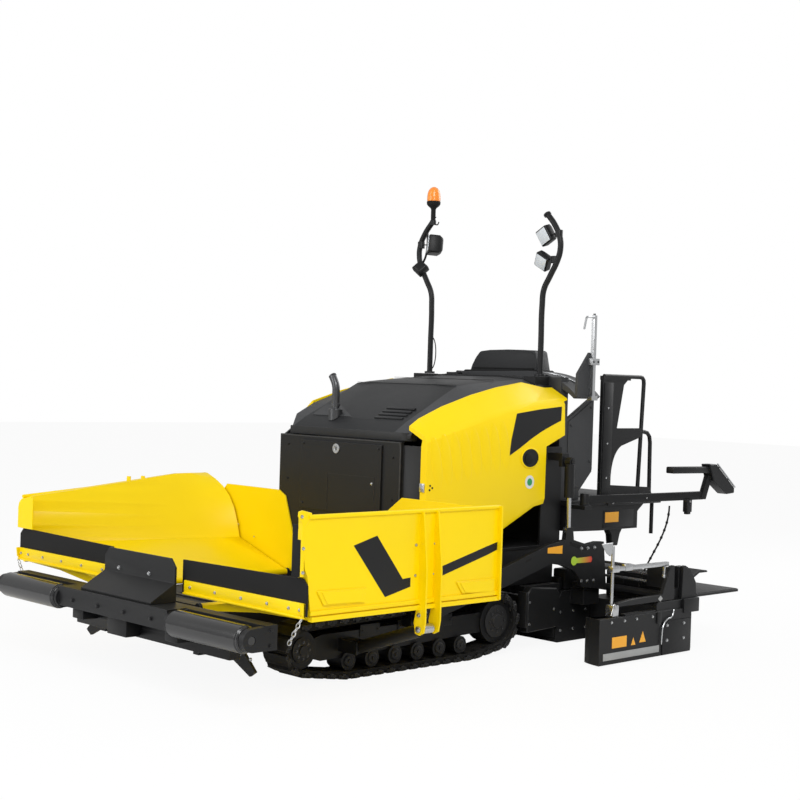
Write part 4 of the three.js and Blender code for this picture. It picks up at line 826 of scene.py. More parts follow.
def buildConsoleTrim(values):
    bm = bmesh.new()
    addPlate(bm, values["outline"], "x", *values["span"], 0.0)
    rim = [e for e in bm.edges if abs(e.verts[0].co.x - e.verts[1].co.x) < 1e-6]
    bevelEdges(bm, rim, 0.022, 4)
    finishPiece("seat_cover", bm, "hoodPlastic", "chassis", 40)
    bm = bmesh.new()
    addPlate(bm, values["lip"], "x", *values["lipSpan"], 0.004)
    addSlab(bm, (-1.243, -1.234), (-0.27, 0.38), (2.086, 2.096), 1.0, 0.002)
    finishPiece("seat_cover_lip", bm, "blackRubber", "chassis")
    bm = bmesh.new()
    for side in sides.values():
        outer = 0.7805 * side
        inset = [(x * 0.985 - 0.019, 1.52 + (z - 1.52) * 0.93) for x, z in values["side"]]
        addPlate(bm, inset, "y", outer, outer + 0.006 * side,
                 0.003)
        for x, z in ((-1.47, 1.38), (-1.47, 1.80), (-1.23, 1.66), (-1.23, 1.22)):
            addBolt(bm, (x, outer + 0.006 * side, z), (0, side, 0), 0.009)
    finishPiece("console_sides", bm, "greyEnamel", "chassis")
    bm = bmesh.new()
    addTube(bm, [(-1.185, 0.30, 2.062), (-1.24, 0.62, 2.048), (-1.27, 0.80, 1.985), (-1.28, 0.90, 1.905)], 0.010)
    addTube(bm, [(-1.185, -0.34, 2.052), (-1.24, -0.62, 2.018), (-1.27, -0.80, 1.955), (-1.28, -0.90, 1.885)], 0.010)
    finishPiece("dash_edge", bm, "bareSteel", "chassis")


buildConsoleTrim(consoleCap)
print("console trimmed")


# hopper wings: edge strips, pads, marks and pin ends

wingTrim = {
    "stripX": (2.1115, 2.1235),
    "stripY": (0.435, 1.604),
    "stripZ": (0.580, 0.664),
    "boltY": (0.50, 0.76, 1.02, 1.27, 1.47, 1.57),
    "boltZ": 0.624,
    "pad": ((2.1320, 2.1400), (1.502, 1.590), (0.815, 1.118)),
    "lug": [(2.080, 1.158), (2.080, 1.188), (2.150, 1.205), (2.176, 1.198), (2.180, 1.172), (2.150, 1.130),
            (2.150, 0.820),
            (2.130, 0.820), (2.130, 1.110)],
    "lugBoltZ": (1.170, 0.985, 0.845),
    "farFlange": [(1.604, 0.810), (1.604, 0.960), (1.592, 0.995), (1.560, 1.022), (1.480, 1.036), (1.400, 1.040),
                  (1.400, 0.810)],
    "mark": [(1.745, 0.980), (1.555, 1.030), (1.330, 0.752), (1.262, 0.757), (1.262, 0.700), (1.475, 0.652)],
    "band": [(1.020, 0.800), (0.560, 0.915), (0.470, 0.936), (0.470, 0.886), (0.560, 0.858), (1.010, 0.742)],
    "pockets": [[(2.030, 0.730), (1.975, 0.642), (1.650, 0.634), (1.640, 0.722)],
                [(0.860, 0.702), (0.800, 0.622), (0.500, 0.606), (0.500, 0.700)]],
    "pin": (1.121, 1.615, 0.430),
}


def buildWingTrim(name, side, values):
    body = f"wing_{name}"
    bm = bmesh.new()
    addSlab(bm, values["stripX"], values["stripY"], values["stripZ"], side, 0.002)
    addSlab(bm, (values["stripX"][0], 2.134), values["stripY"], (0.576, 0.588), side, 0.002)
    for pocket in values["pockets"]:
        addPlate(bm, pocket, "y", 1.6005 * side, 1.6110 * side, 0.003)
        middle = sum((Vector(p) for p in pocket), Vector((0, 0))) / 4
        inner = [tuple(middle + (Vector(p) - middle) * 0.84) for p in pocket]
        addPlate(bm, inner, "y", 1.6110 * side, 1.6160 * side, 0.002)
    if name == "left":
        addPlate(bm, values["lug"], "y", 1.5905 * side, 1.6035 * side, 0.002)
    else:
        addPlate(bm, values["farFlange"], "x", 2.1313, 2.1400, 0.002)
        for vert in bm.verts:
            if vert.co.x > 2.131 and vert.co.y > 1.3:
                vert.co.y *= side
    addPlate(bm, [(2.112, 0.575), (2.112, 0.664), (2.148, 0.664), (2.140, 0.600)], "y", 1.592 * side,
             1.604 * side, 0.002)
    finishPiece(f"wing_strip_{name}", bm, "yellowEnamel", body)
    bm = bmesh.new()
    for y in values["boltY"]:
        addBolt(bm, (values["stripX"][1], y * side, values["boltZ"]), (1, 0, 0), 0.0085)
    if name == "left":
        for index, z in enumerate(values["lugBoltZ"]):
            addBolt(bm, (2.158 if index == 0 else 2.140, 1.6037 * side, z), (0, side, 0), 0.0085)
    pin = values["pin"]
    for end in (1.0, -1.0):
        addDisc(bm, (pin[0] + end * 0.0715, pin[1] * side, pin[2]), (end, 0, 0), 0.021, 0.010, 20)
    addBolt(bm, (pin[0] + 0.0715, pin[1] * side, 0.520), (1, 0, 0), 0.012)
    addBolt(bm, (pin[0] - 0.0715, pin[1] * side, 0.520), (-1, 0, 0), 0.012)
    for z in (0.955, 0.766, 0.605):
        addBolt(bm, (pin[0] - 0.065, 1.6005 * side, z), (0, side, 0), 0.008)
        addBolt(bm, (pin[0] + 0.100, 1.6005 * side, z), (0, side, 0), 0.008)
    for y in (0.95, 1.15, 1.35):
        addBolt(bm, (0.4625 + 0.001, y * side, 0.72 + (y - 0.95) * 0.4), (-1, 0, 0), 0.006)
    finishPiece(f"wing_bolts_{name}", bm, "bareSteel", body)
    if name == "left":
        bm = bmesh.new()
        addSlab(bm, *values["pad"], side, 0.002)
        finishPiece(f"wing_pad_{name}", bm, "blackRubber", body)
    bm = bmesh.new()
    for outline in (values["mark"], values["band"]):
        addPlate(bm, outline, "y", 1.6004 * side, 1.6014 * side, 0.0)
    finishPiece(f"wing_marks_{name}", bm, "blackEnamel", body)
    bm = bmesh.new()
    for index in range(6):  # short keeper chain at the outer end
        spot = (2.130, (1.585 - 0.018 * index) * side, 0.560 - 0.027 * index)
        turn = Matrix.Rotation(math.radians(90.0 * (index % 2) + 20), 3, "Z") @ Matrix.Rotation(0.55 * -side, 3, "X")
        addLink(bm, spot, turn, 0.036, 0.0032)
    finishPiece(f"wing_chain_{name}", bm, "bareSteel", body, 60)


for name, side in sides.items():
    buildWingTrim(name, side, wingTrim)
print("wings trimmed")


# side panels: dark mark, filler hole, round sign, ribs and hinge

panelTrim = {
    "faceY": 0.8803,
    "mark": [(-0.492, 1.752), (-0.760, 1.786), (-1.000, 1.808), (-0.996, 1.702), (-0.900, 1.668), (-0.780, 1.622),
             (-0.660, 1.566), (-0.540, 1.500), (-0.425, 1.444), (-0.440, 1.560)],
    "hole": (-0.653, 1.424, 0.070),
    "sign": (-0.656, 1.246, 0.050),
    "ribs": [(0.330, 1.400), (0.230, 1.418), (0.130, 1.436), (0.030, 1.455), (-0.070, 1.474), (-0.170, 1.492),
             (-0.270, 1.508), (-0.370, 1.520)],
    "ribSize": (0.052, 0.0062, 0.190),
    "ribLean": 12.0,
    "hinge": (0.4285, 0.868, 1.230),
    "frontX": {"left": 0.4285, "right": 0.1205},
    "stretch": 1.35,
}


def buildPanelTrim(name, side, values):
    body = f"side_panel_{name}"
    face = values["faceY"] * side
    bm = bmesh.new()
    addPlate(bm, values["mark"], "y", face, face + 0.001 * side, 0.0)
    x, z, radius = values["hole"]
    addPlate(bm, [(x + radius * 1.35 * math.cos(a * math.tau / 32), z + radius * math.sin(a * math.tau / 32))
                  for a in range(32)], "y", face, face + 0.003 * side, 0.0)
    finishPiece(f"panel_mark_{name}", bm, "blackEnamel", body)
    bm = bmesh.new()
    addRing(bm, (x, face, z), (0, side, 0), radius + 0.008, radius - 0.002, 0.007, 36)
    bmesh.ops.scale(bm, vec=(values["stretch"], 1, 1), space=Matrix.Translation((-x, 0, 0)), verts=bm.verts)
    lens = bmesh.new()
    addDisc(lens, (x + 0.016, face + 0.003 * side, z - 0.006), (0, side, 0), radius * 0.62, 0.006, 28, 0.002)
    finishPiece(f"panel_cap_{name}", lens, "blackRubber", body)
    front = values["frontX"][name]
    for ribX, ribZ in [rib for rib in values["ribs"] if rib[0] < front - 0.06]:
        width, depth, length = values["ribSize"]
        lean = Matrix.Rotation(math.radians(values["ribLean"]), 4, "Y")
        ribSize = Matrix.Diagonal((width, depth, length, 1))
        place = Matrix.Translation((ribX, face - 0.002 * side, ribZ)) @ lean @ ribSize
        bmesh.ops.create_uvsphere(bm, u_segments=20, v_segments=16, radius=1.0, matrix=place)
    finishPiece(f"panel_ribs_{name}", bm, "yellowEnamel", body, 60)
    x, z, radius = values["sign"]
    bm = bmesh.new()
    addDisc(bm, (x, face, z), (0, side, 0), radius, 0.0012, 28, 0.0)
    finishPiece(f"panel_sign_{name}", bm, "palePlate", body)
    bm = bmesh.new()
    addDisc(bm, (x, face + 0.0012 * side, z), (0, side, 0), radius * 0.55, 0.0008, 24, 0.0)
    finishPiece(f"panel_sign_dot_{name}", bm, "greenDot", body)
    bm = bmesh.new()
    x, y, z = front, *values["hinge"][1:]
    addSlab(bm, (x, x + 0.0035), (y - 0.050, y), (z - 0.030, z + 0.030), side, 0.001)
    addDisc(bm, (x + 0.005, (y - 0.006) * side, z - 0.030), (0, 0, 1), 0.006, 0.060, 12)
    finishPiece(f"panel_hinge_{name}", bm, "bareSteel", body)
    bm = bmesh.new()
    for across, up in ((0.040, 0.016), (0.062, 0.0), (0.036, -0.014)):
        addDisc(bm, (front - across, face, z + up), (0, side, 0), 0.0075, 0.004, 12)
    finishPiece(f"panel_screws_{name}", bm, "blackRubber", body)


for name, side in sides.items():
    buildPanelTrim(name, side, panelTrim)
print("side panels trimmed")


# front wall and service door

frontWall = {
    "lock": (0.4465, -0.040, 1.455),
    "doorBolts": [(-0.41, 1.03), (0.41, 1.03), (-0.41, 1.475), (0.41, 1.475)],
    "folds": [((-0.130, 0.378), (1.266, 1.269)), ((-0.130, -0.127), (1.000, 1.269)), ((0.375, 0.378), (1.000, 1.269))],
    "wallX": 0.4323,
    # outline of a thin grey strip along the top rim and corner: a painted highlight on the edge
    "edge": [(-0.700, 1.528), (-0.650, 1.534), (0.620, 1.534), (0.627, 1.480), (0.627, 0.760), (0.618, 0.760),
             (0.618, 1.480), (0.612, 1.526), (-0.650, 1.526)],
}


def buildFrontWall(values):
    x, y, z = values["lock"]
    bm = bmesh.new()
    addRing(bm, (x, y, z), (1, 0, 0), 0.036, 0.020, 0.006, 32)
    addDisc(bm, (x, y, z), (1, 0, 0), 0.022, 0.003, 24, 0.0)
    addBolt(bm, (x, 0.352, 1.222), (1, 0, 0), 0.009)
    finishPiece("door_lock", bm, "bareSteel", "service_door")
    bm = bmesh.new()
    # a near-black sliver on the lock: painted shade in the key slot
    addSlab(bm, (x + 0.003, x + 0.005), (y - 0.004, y + 0.004), (z - 0.013, z + 0.013), 1.0, 0.0)
    finishPiece("door_lock_slot_shade", bm, "jointAndShadeBlack", "service_door")
    bm = bmesh.new()
    for y, z in values["doorBolts"]:
        addBolt(bm, (x, y, z), (1, 0, 0), 0.008)
    for spanY, spanZ in values["folds"]:
        addSlab(bm, (x, x + 0.0015), spanY, spanZ, 1.0, 0.0)
    finishPiece("door_folds", bm, "blackEnamel", "service_door")
    bm = bmesh.new()
    wall = values["wallX"]
    sill = bmesh.new()
    addSlab(sill, (0.300, 0.3965), (-0.660, 0.620), (1.5353, 1.5385), 1.0, 0.001)
    addSlab(sill, (0.300, 0.392), (-0.600, 0.600), (1.5385, 1.555), 1.0, 0.001)
    for side in sides.values():
        addSlab(sill, (-1.040, 0.420), (0.790, 0.805), (0.475, 0.745), side, 0.002)
    finishPiece("wall_fillers", sill, "blackEnamel", "chassis")
    # thin grey strip on the wall's top rim and corner: a painted highlight where the edge catches light
    addPlate(bm, values["edge"], "x", wall, wall + 0.003, 0.0)
    finishPiece("wall_edge_highlight", bm, "greyEnamel", "chassis")
    bm = bmesh.new()
    for y, z in ((0.55, 0.82), (0.55, 1.12), (0.55, 1.42), (-0.60, 0.90), (-0.60, 1.20), (-0.60, 1.46)):
        addBolt(bm, (wall, y, z), (1, 0, 0), 0.007)
    finishPiece("wall_bolts", bm, "blackRubber", "chassis")


buildFrontWall(frontWall)
print("front wall built")


# hood: rim, louvres, heat plate, joint line, and painted shade in the louvre gaps and the exhaust's mouth

hoodTrim = {
    "rim": ((0.4003, 0.412), (-0.612, 0.610), (1.541, 1.602)),
    "nose": [(0.330, 0.600), (0.412, 0.600), (0.404, 0.640), (0.380, 0.668), (0.330, 0.684)],
    "slope": (0.130, 1.7728, -0.5735),  # x, z there, dz/dx
    "louvreX": (0.155, 0.195, 0.235, 0.275),
    "louvreY": (0.180, 0.470),
    "plate": [(0.285, -0.060), (0.285, -0.500), (0.150, -0.500), (0.150, -0.330)],
    "joints": [(-0.20, 1.9453), (-0.60, 1.9925)],
    "mouth": (0.285, -0.289, 1.985),
}


def buildHoodTrim(values):
    footX, footZ, rise = values["slope"]
    lean = Matrix.Rotation(math.atan(-rise), 4, "Y")
    bm = bmesh.new()
    addSlab(bm, *values["rim"], 1.0, 0.005)
    addPlate(bm, values["nose"], "z", 1.541, 1.600, 0.006)
    finishPiece("hood_rim", bm, "hoodPlastic", "hood")
    bm = bmesh.new()
    # near-black boxes behind the louvres are painted shade in their gaps; the joint lines added to them are dark joints
    gaps = bmesh.new()
    first, second = values["louvreY"]
    for x in values["louvreX"]:
        z = footZ + (x - footX) * rise
        addBox(bm, (x - 0.016, first, z - 0.001), (x + 0.010, second, z + 0.011), 0.004, lean)
        addBox(gaps, (x - 0.024, first + 0.006, z + 0.002), (x - 0.012, second - 0.006, z + 0.010), 0.0, lean)
    finishPiece("hood_louvres", bm, "hoodPlastic", "hood")
    for x, z in values["joints"]:
        addBox(gaps, (x - 0.003, -0.535, z - 0.002), (x + 0.003, 0.535, z + 0.001), 0.0)
    finishPiece("hood_louvre_shade_and_joints", gaps, "jointAndShadeBlack", "hood")
    bm = bmesh.new()
    verts = [bm.verts.new((x, y, footZ + (x - footX) * rise + 0.0006)) for x, y in values["plate"]]
    face = bm.faces.new(verts)
    grown = bmesh.ops.extrude_face_region(bm, geom=[face])
    top = [item for item in grown["geom"] if isinstance(item, bmesh.types.BMVert)]
    bmesh.ops.translate(bm, verts=top, vec=Vector((0.002, 0, 0.004)))
    finishPiece("heat_plate", bm, "greyEnamel", "hood")
    bm = bmesh.new()
    x, y, z = values["mouth"]
    addRing(bm, (x, y + 0.004, z - 0.003), (0, -0.67, 0.74), 0.0302, 0.0250, 0.010, 24)
    addRing(bm, (x, -0.244, 1.760), (0, 0, 1), 0.034, 0.028, 0.020, 24)
    finishPiece("exhaust_rings", bm, "darkSteel", "hood")
    bm = bmesh.new()
    # a near-black disc across the pipe end: painted shade inside the exhaust's mouth
    addDisc(bm, (x, y, z), (0, -0.67, 0.74), 0.0252, 0.002, 24, 0.0)
    finishPiece("exhaust_mouth_shade", bm, "jointAndShadeBlack", "hood")


buildHoodTrim(hoodTrim)
print("hood trimmed")


# front end: apron bolts, roller ends, frame bolts

frontEnd = {
    "apronBolts": [(2.1705, -0.228, 0.672), (2.1705, 0.118, 0.672)],
    "skirt": ((2.060, 2.1492), (-0.760, 0.955), (0.235, 0.369)),
    "boxes": [((2.155, 2.285), (-0.600, -0.470), (0.300, 0.3695)), ((2.155, 2.270), (-0.200, 0.020), (0.250, 0.3695)),
              ((2.155, 2.285), (0.470, 0.600), (0.300, 0.3695))],
    "deflector": [(0.382, 0.255), (0.640, 0.235), (0.800, 0.226), (0.910, 0.215)],
}


def buildFrontEnd(values):
    bm = bmesh.new()
    for spot in values["apronBolts"]:
        addBolt(bm, spot, (1, 0, 0), 0.011)
    for side in sides.values():
        for y, z in values["deflector"]:
            addBolt(bm, (1.9452, y * side, z), (1, 0, 0), 0.010)
    finishPiece("front_bolts", bm, "bareSteel", "chassis")
    bm = bmesh.new()
    addSlab(bm, *values["skirt"], 1.0, 0.006)
    for spans in values["boxes"]:
        addSlab(bm, *spans, 1.0, 0.006)
    for side in sides.values():
        addSlab(bm, (2.1502, 2.163), (0.620, 1.360), (0.430, 0.448), side, 0.003)
        for y in (0.66, 1.00, 1.34):
            addBolt(bm, (2.2412, y * side, 0.495), (1, 0, 0), 0.010)
        for x, z in ((2.20, 0.40), (2.20, 0.49)):
            addBolt(bm, (x, 1.4073 * side, z), (0, side, 0), 0.011)
    for y in (-0.45, -0.15, 0.15, 0.45):
        addBolt(bm, (2.3802, y, 0.445), (1, 0, 0), 0.013)
    finishPiece("beam_fittings", bm, "blackEnamel", "chassis")
    for name, side in sides.items():
        bm = bmesh.new()
        for y, way in ((1.3452, 1.0), (0.6648, -1.0)):
            addRing(bm, (2.338, y * side, 0.440), (0, side * way, 0), 0.078, 0.052, 0.006, 36)
            for turn in range(6):
                angle = turn * math.pi / 3
                spot = (2.338 + 0.064 * math.cos(angle), (y + 0.006 * way) * side, 0.440 + 0.064 * math.sin(angle))
                addBolt(bm, spot, (0, side * way, 0), 0.005)
        finishPiece(f"roller_rings_{name}", bm, "darkSteel", f"push_roller_{name}")


buildFrontEnd(frontEnd)
print("front end built")


# running gear: hub plates, roller caps, shoe bars

runningGear = {
    "hubs": [(1.512, 0.222, 0.082), (-0.326, 0.246, 0.118)],
    "rollers": [(1.105 - 0.213 * index, 0.110) for index in range(6)],
    "faceY": 0.8825,
    "pitch": 0.108,
    "beltY": 0.810,
    "shoeParts": [(0.011, (0.078, 0.236, 0.026), 0.0), (0.034, (0.060, 0.050, 0.024), 0.070),
                  (0.034, (0.060, 0.050, 0.024), -0.070)],
}


def buildRunningGear(name, side, values):
    face = values["faceY"] * side
    bm = bmesh.new()
    bolts = bmesh.new()
    for x, z, radius in values["hubs"]:
        addTurned(bm, [(0, 0), (radius, 0), (radius, 0.010), (radius * 0.82, 0.016), (radius * 0.45, 0.016),
                       (radius * 0.40, 0.028), (0, 0.030)], (x, face, z), (0, side, 0), 32)
        for turn in range(8):
            angle = turn * math.pi / 4
            spot = (x + radius * 0.66 * math.cos(angle), face + 0.016 * side, z + radius * 0.66 * math.sin(angle))
            addBolt(bolts, spot, (0, side, 0), 0.0075)
    for x, z in values["rollers"]:
        addTurned(bm, [(0, 0), (0.040, 0), (0.040, 0.006), (0.032, 0.012), (0.014, 0.012), (0.012, 0.020), (0, 0.020)],
                  (x, face + 0.003 * side, z), (0, side, 0), 20)
    finishPiece(f"gear_caps_{name}", bm, "castIron", "chassis")
    finishPiece(f"gear_bolts_{name}", bolts, "darkSteel", "chassis")
    bm = bmesh.new()
    for x in (0.20, 0.55, 0.90):
        addSlab(bm, (x - 0.09, x + 0.09), (0.8605, 0.867), (0.255, 0.335), side, 0.003)
        for end in (-0.07, 0.07):
            addBolt(bm, (x + end, 0.867 * side, 0.295), (0, side, 0), 0.008)
    finishPiece(f"gear_plates_{name}", bm, "blackEnamel", "chassis")


def loopPoints(node, pitch):
    # evenly spaced places along the outside of the belt, with the way it runs there
    bm = bmesh.new()
    bm.from_mesh(cadNodes[node].data)
    bmesh.ops.transform(bm, matrix=Matrix.Diagonal((1, 0, 1, 1)), verts=bm.verts)
    bmesh.ops.remove_doubles(bm, verts=bm.verts, dist=1e-4)
    points = [vert.co.copy() for vert in bm.verts]
    bm.free()
    middle = sum(points, Vector()) / len(points)
    outline = [points[min(range(len(points)), key=lambda i: points[i].x)]]
    while True:  # walk round the outside
        here = outline[-1]
        best = None
        for point in points:
            step = point - here
            if step.length < 1e-5:
                continue
            if best is None or best.x * step.z - best.z * step.x < -1e-9 or (
                    abs(best.x * step.z - best.z * step.x) <= 1e-9 and step.length > best.length):
                best = step
        if (here + best - outline[0]).length < 1e-5 or len(outline) > 400:
            break
        outline.append(here + best)
    total = sum((b - a).length for a, b in zip(outline, outline[1:] + outline[:1]))
    count = round(total / pitch)
    places = []
    walked, target = 0.0, 0.0
    for start, end in zip(outline, outline[1:] + outline[:1]):
        length = (end - start).length
        while target < walked + length and len(places) < count:
            along = (end - start).normalized()
            places.append((start + along * (target - walked), along, middle))
            target += total / count
        walked += length
    return places


def buildShoes(name, side, values):
    bm = bmesh.new()
    for place, along, middle in loopPoints(f"track_{name}", values["pitch"]):
        across = Vector((0, 1, 0))
        out = along.cross(across)
        if out.dot(place - middle) < 0:
            out = -out
        turn = Matrix((along, across, out)).transposed().to_4x4()
        centre = Vector((place.x, values["beltY"] * side, place.z))
        for depth, size, shift in values["shoeParts"]:
            spot = centre - out * depth + across * shift
            half = Vector(size) / 2
            addBox(bm, spot - half, spot + half, 0.004, turn)
        for shift in (-0.115, 0.115):
            spot = centre - out * 0.016 + across * shift
            half = Vector((0.030, 0.016, 0.034)) / 2
            addBox(bm, spot - half, spot + half, 0.003, turn)
    finishPiece(f"track_shoes_{name}", bm, "trackSteel", "chassis")


for name, side in sides.items():
    buildRunningGear(name, side, runningGear)
    buildShoes(name, side, runningGear)
print("running gear built")


# platform: treads, box plates, brackets, rail fittings

deckTrim = {
    "tread": ((-2.250, -1.520), (-0.760, 0.760), (1.0903, 1.0945)),
    "sign": ((-1.735, -1.565), (0.8832, 0.8842), (0.905, 0.985)),
    "lid": ((-1.930, -1.545), (0.8803, 0.8830), (0.865, 1.000)),
    "hanger": [(-1.650, 0.852), (-1.840, 0.852), (-1.805, 0.800), (-1.780, 0.712), (-1.705, 0.712), (-1.690, 0.800)],
    "post": (-2.225, 0.840, 0.785, 1.0495),
}


def buildDeckTrim(values):
    bm = bmesh.new()
    addSlab(bm, *values["tread"], 1.0, 0.001)
    finishPiece("deck_tread", bm, "treadSteel", "chassis")
    signs = bmesh.new()
    bm = bmesh.new()
    steel = bmesh.new()
    for side in sides.values():
        addSlab(bm, *values["lid"], side, 0.001)
        addSlab(signs, *values["sign"], side, 0.0)
        addPlate(bm, values["hanger"], "y", 0.790 * side, 0.850 * side, 0.006)
        x, y, low, high = values["post"]
        addDisc(bm, (x, y * side, low), (0, 0, 1), 0.016, high - low, 16)
        addSlab(bm, (-2.250, -1.560), (0.9003, 0.912), (1.040, 1.088), side, 0.003)
        for x in (-1.62, -1.86, -2.10):
            addBolt(steel, (x, 0.912 * side, 1.064), (0, side, 0), 0.009)
        for z in (1.25, 1.52, 1.80):
            addBolt(steel, (-1.640, 0.8152 * side, z), (0, side, 0), 0.009)
        addSlab(bm, (-1.700, -1.590), (0.8152, 0.8200), (1.120, 2.000), side, 0.002)
    finishPiece("deck_fittings", bm, "blackEnamel", "chassis")
    finishPiece("deck_signs", signs, "orangePlate", "chassis")
    finishPiece("deck_bolts", steel, "bareSteel", "chassis")


buildDeckTrim(deckTrim)
print("platform trimmed")


# tow arms

armTrim = {
    "faceY": 1.0212,
    "bolts": [(-1.113, 0.743), (-1.189, 0.741), (-1.268, 0.742), (-1.126, 0.495), (-1.196, 0.492), (-1.272, 0.490)],
    "sign": [(-0.722, 0.728), (-0.722, 0.768), (-0.890, 0.778), (-0.890, 0.716)],
    "strip": [(-1.035, 0.634), (-1.035, 0.672), (-1.235, 0.676), (-1.245, 0.654), (-1.235, 0.632)],
    "stripEnd": (-1.030, 0.653, 0.034),
    "slot": [(-0.480, 0.672), (-0.540, 0.690), (-0.545, 0.706), (-0.485, 0.690)],
    "groove": [(-0.98, 0.800), (-1.165, 0.752), (-1.165, 0.724), (-0.98, 0.770)],
    "pinHead": (0.550, 0.385),
}


def buildArmTrim(name, side, values):
    face = values["faceY"] * side
    bm = bmesh.new()
    for x, z in values["bolts"]:
        addBolt(bm, (x, face, z), (0, side, 0), 0.0105)
    x, z = values["pinHead"]
    addDisc(bm, (x, face + 0.001 * side, z), (0, side, 0), 0.030, 0.008, 24)
    finishPiece(f"arm_bolts_{name}", bm, "bareSteel", "screed")
    bm = bmesh.new()
    addPlate(bm, values["sign"], "y", face, face + 0.001 * side, 0.0)
    finishPiece(f"arm_sign_{name}", bm, "orangePlate", "screed")
    bm = bmesh.new()
    addPlate(bm, values["strip"], "y", face, face + 0.001 * side, 0.0)
    x, z, radius = values["stripEnd"]
    addDisc(bm, (x, face + 0.0002 * side, z), (0, side, 0), radius, 0.0012, 24, 0.0)
    finishPiece(f"arm_strip_{name}", bm, "stripSticker", "screed")
    bm = bmesh.new()
    # near-black sheets on the arm face: painted shade in the slot and the groove
    addPlate(bm, values["slot"], "y", face, face + 0.0008 * side, 0.0)
    addPlate(bm, values["groove"], "y", face, face + 0.0006 * side, 0.0)
    finishPiece(f"arm_slot_shade_{name}", bm, "jointAndShadeBlack", "screed")
    bm = bmesh.new()
    addPlate(bm, [(-0.62, 0.135), (-0.62, 0.430), (-0.66, 0.470), (-0.95, 0.445), (-0.985, 0.400), (-0.985, 0.200),
                  (-0.95, 0.150)], "y", 0.865 * side, 0.935 * side, 0.008)
    addSlab(bm, (-0.600, -0.575), (0.872, 0.955), (0.180, 0.440), side, 0.006)
    finishPiece(f"auger_guard_{name}", bm, "blackEnamel", "chassis")
    bm = bmesh.new()
    for x, z in ((-0.640, 0.36), (-0.640, 0.20), (-0.92, 0.29)):
        addBolt(bm, (x, 0.9352 * side, z), (0, side, 0), 0.008)
    finishPiece(f"auger_guard_bolts_{name}", bm, "bareSteel", "chassis")


for name, side in sides.items():
    buildArmTrim(name, side, armTrim)
print("tow arms trimmed")


# screed: covers, heater boxes, bolts and handles in the middle part

screedTrim = {
    "covers": [(0.09, 0.40), (0.43, 0.585)],
    "plateBolts": [(-1.10, 0.10), (-1.10, 0.24), (-1.25, 0.10), (-1.40, 0.10), (-1.25, 0.24), (-1.40, 0.24)],
    "tread": ((-2.232, -1.862), (-0.590, 0.590), (0.5023, 0.5058)),
}


def buildScreedTrim(values):
    bm = bmesh.new()
    steel = bmesh.new()
    for side in sides.values():
        for span in values["covers"]:
            addSlab(bm, (-1.340, -1.135), span, (0.4003, 0.455), side, 0.010)
            addTube(bm, [(-1.235, (span[0] + 0.05) * side, 0.455), (-1.235, (span[0] + 0.06) * side, 0.485),
                         (-1.235, (span[1] - 0.06) * side, 0.485), (-1.235, (span[1] - 0.05) * side, 0.455)], 0.007, 3)
        addSlab(bm, (-1.0497, -1.035), (0.05, 0.84), (0.050, 0.250), side, 0.003)
        addSlab(bm, (-1.385, -1.150), (0.720, 0.840), (0.4003, 0.560), side, 0.012)
        addSlab(bm, (-1.140, -1.095), (0.740, 0.825), (0.4003, 0.500), side, 0.008)
        for x, z in values["plateBolts"]:
            addBolt(steel, (x, 0.8502 * side, z), (0, side, 0), 0.009)
        for y in (0.12, 0.36, 0.60, 0.80):
            addBolt(steel, (-1.4502, y * side, 0.26), (-1, 0, 0), 0.010)
            addBolt(steel, (-1.4502, y * side, 0.10), (-1, 0, 0), 0.010)
        for y in (0.615, 0.685):
            addBolt(steel, (-1.430, y * side, 0.4702), (0, 0, 1), 0.009)
            addBolt(steel, (-1.600, y * side, 0.4702), (0, 0, 1), 0.009)
    addSlab(bm, (-1.4640, -1.4503), (-0.84, 0.84), (0.150, 0.215), 1.0, 0.003)
    finishPiece("screed_covers", bm, "blackEnamel", "screed")
    finishPiece("screed_bolts", steel, "bareSteel", "screed")
    bm = bmesh.new()
    addSlab(bm, *values["tread"], 1.0, 0.001)
    finishPiece("walkway_tread", bm, "treadSteel", "screed")


buildScreedTrim(screedTrim)
print("screed covers built")


# screed extensions and their end plates

extensionTrim = {
    "faceY": 1.6482,
    "sign": ((-0.880, -0.712), (0.120, 0.198)),
    "triangles": [(-0.958, 0.122, 0.026), (-1.068, 0.132, 0.038)],
    "scale": ((-1.268, -0.612), (0.040, 0.090)),
    "column": ((-1.655, -1.305), (0.012, 0.258)),
    "columnBolts": [(-1.352, 0.228), (-1.352, 0.118), (-1.560, 0.228), (-1.560, 0.118)],
    "topBolts": [(-0.700, 0.318), (-0.850, 0.318), (-0.990, 0.318), (-1.180, 0.318)],
    "rod": (-0.772, 1.585, 0.345, 0.835),
    "clamp": ((-0.802, -0.730), (1.565, 1.632), (0.3355, 0.420)),
    "flag": [(-0.640, 0.858), (-0.764, 0.862), (-0.764, 0.792), (-0.740, 0.766), (-0.700, 0.788)],
    "handle": ((-1.430, -0.760), (1.568, 1.602), (0.655, 0.686)),
    "arm": [(-0.760, 0.4025), (-0.790, 0.432), (-0.960, 0.448), (-1.330, 0.452), (-1.420, 0.640), (-1.470, 0.660),
            (-1.475, 0.4025)],
    "diamond": (-1.300, 0.425, 0.022),
    "rods": [(-1.480, 0.612), (-1.552, 0.556), (-1.530, 0.502)],
    "flap": [(-1.640, 0.508), (-1.850, 0.600), (-1.950, 0.586), (-1.956, 0.572), (-1.850, 0.572), (-1.652, 0.482)],
    "block": ((-1.752, -1.560), (0.300, 0.405)),
}


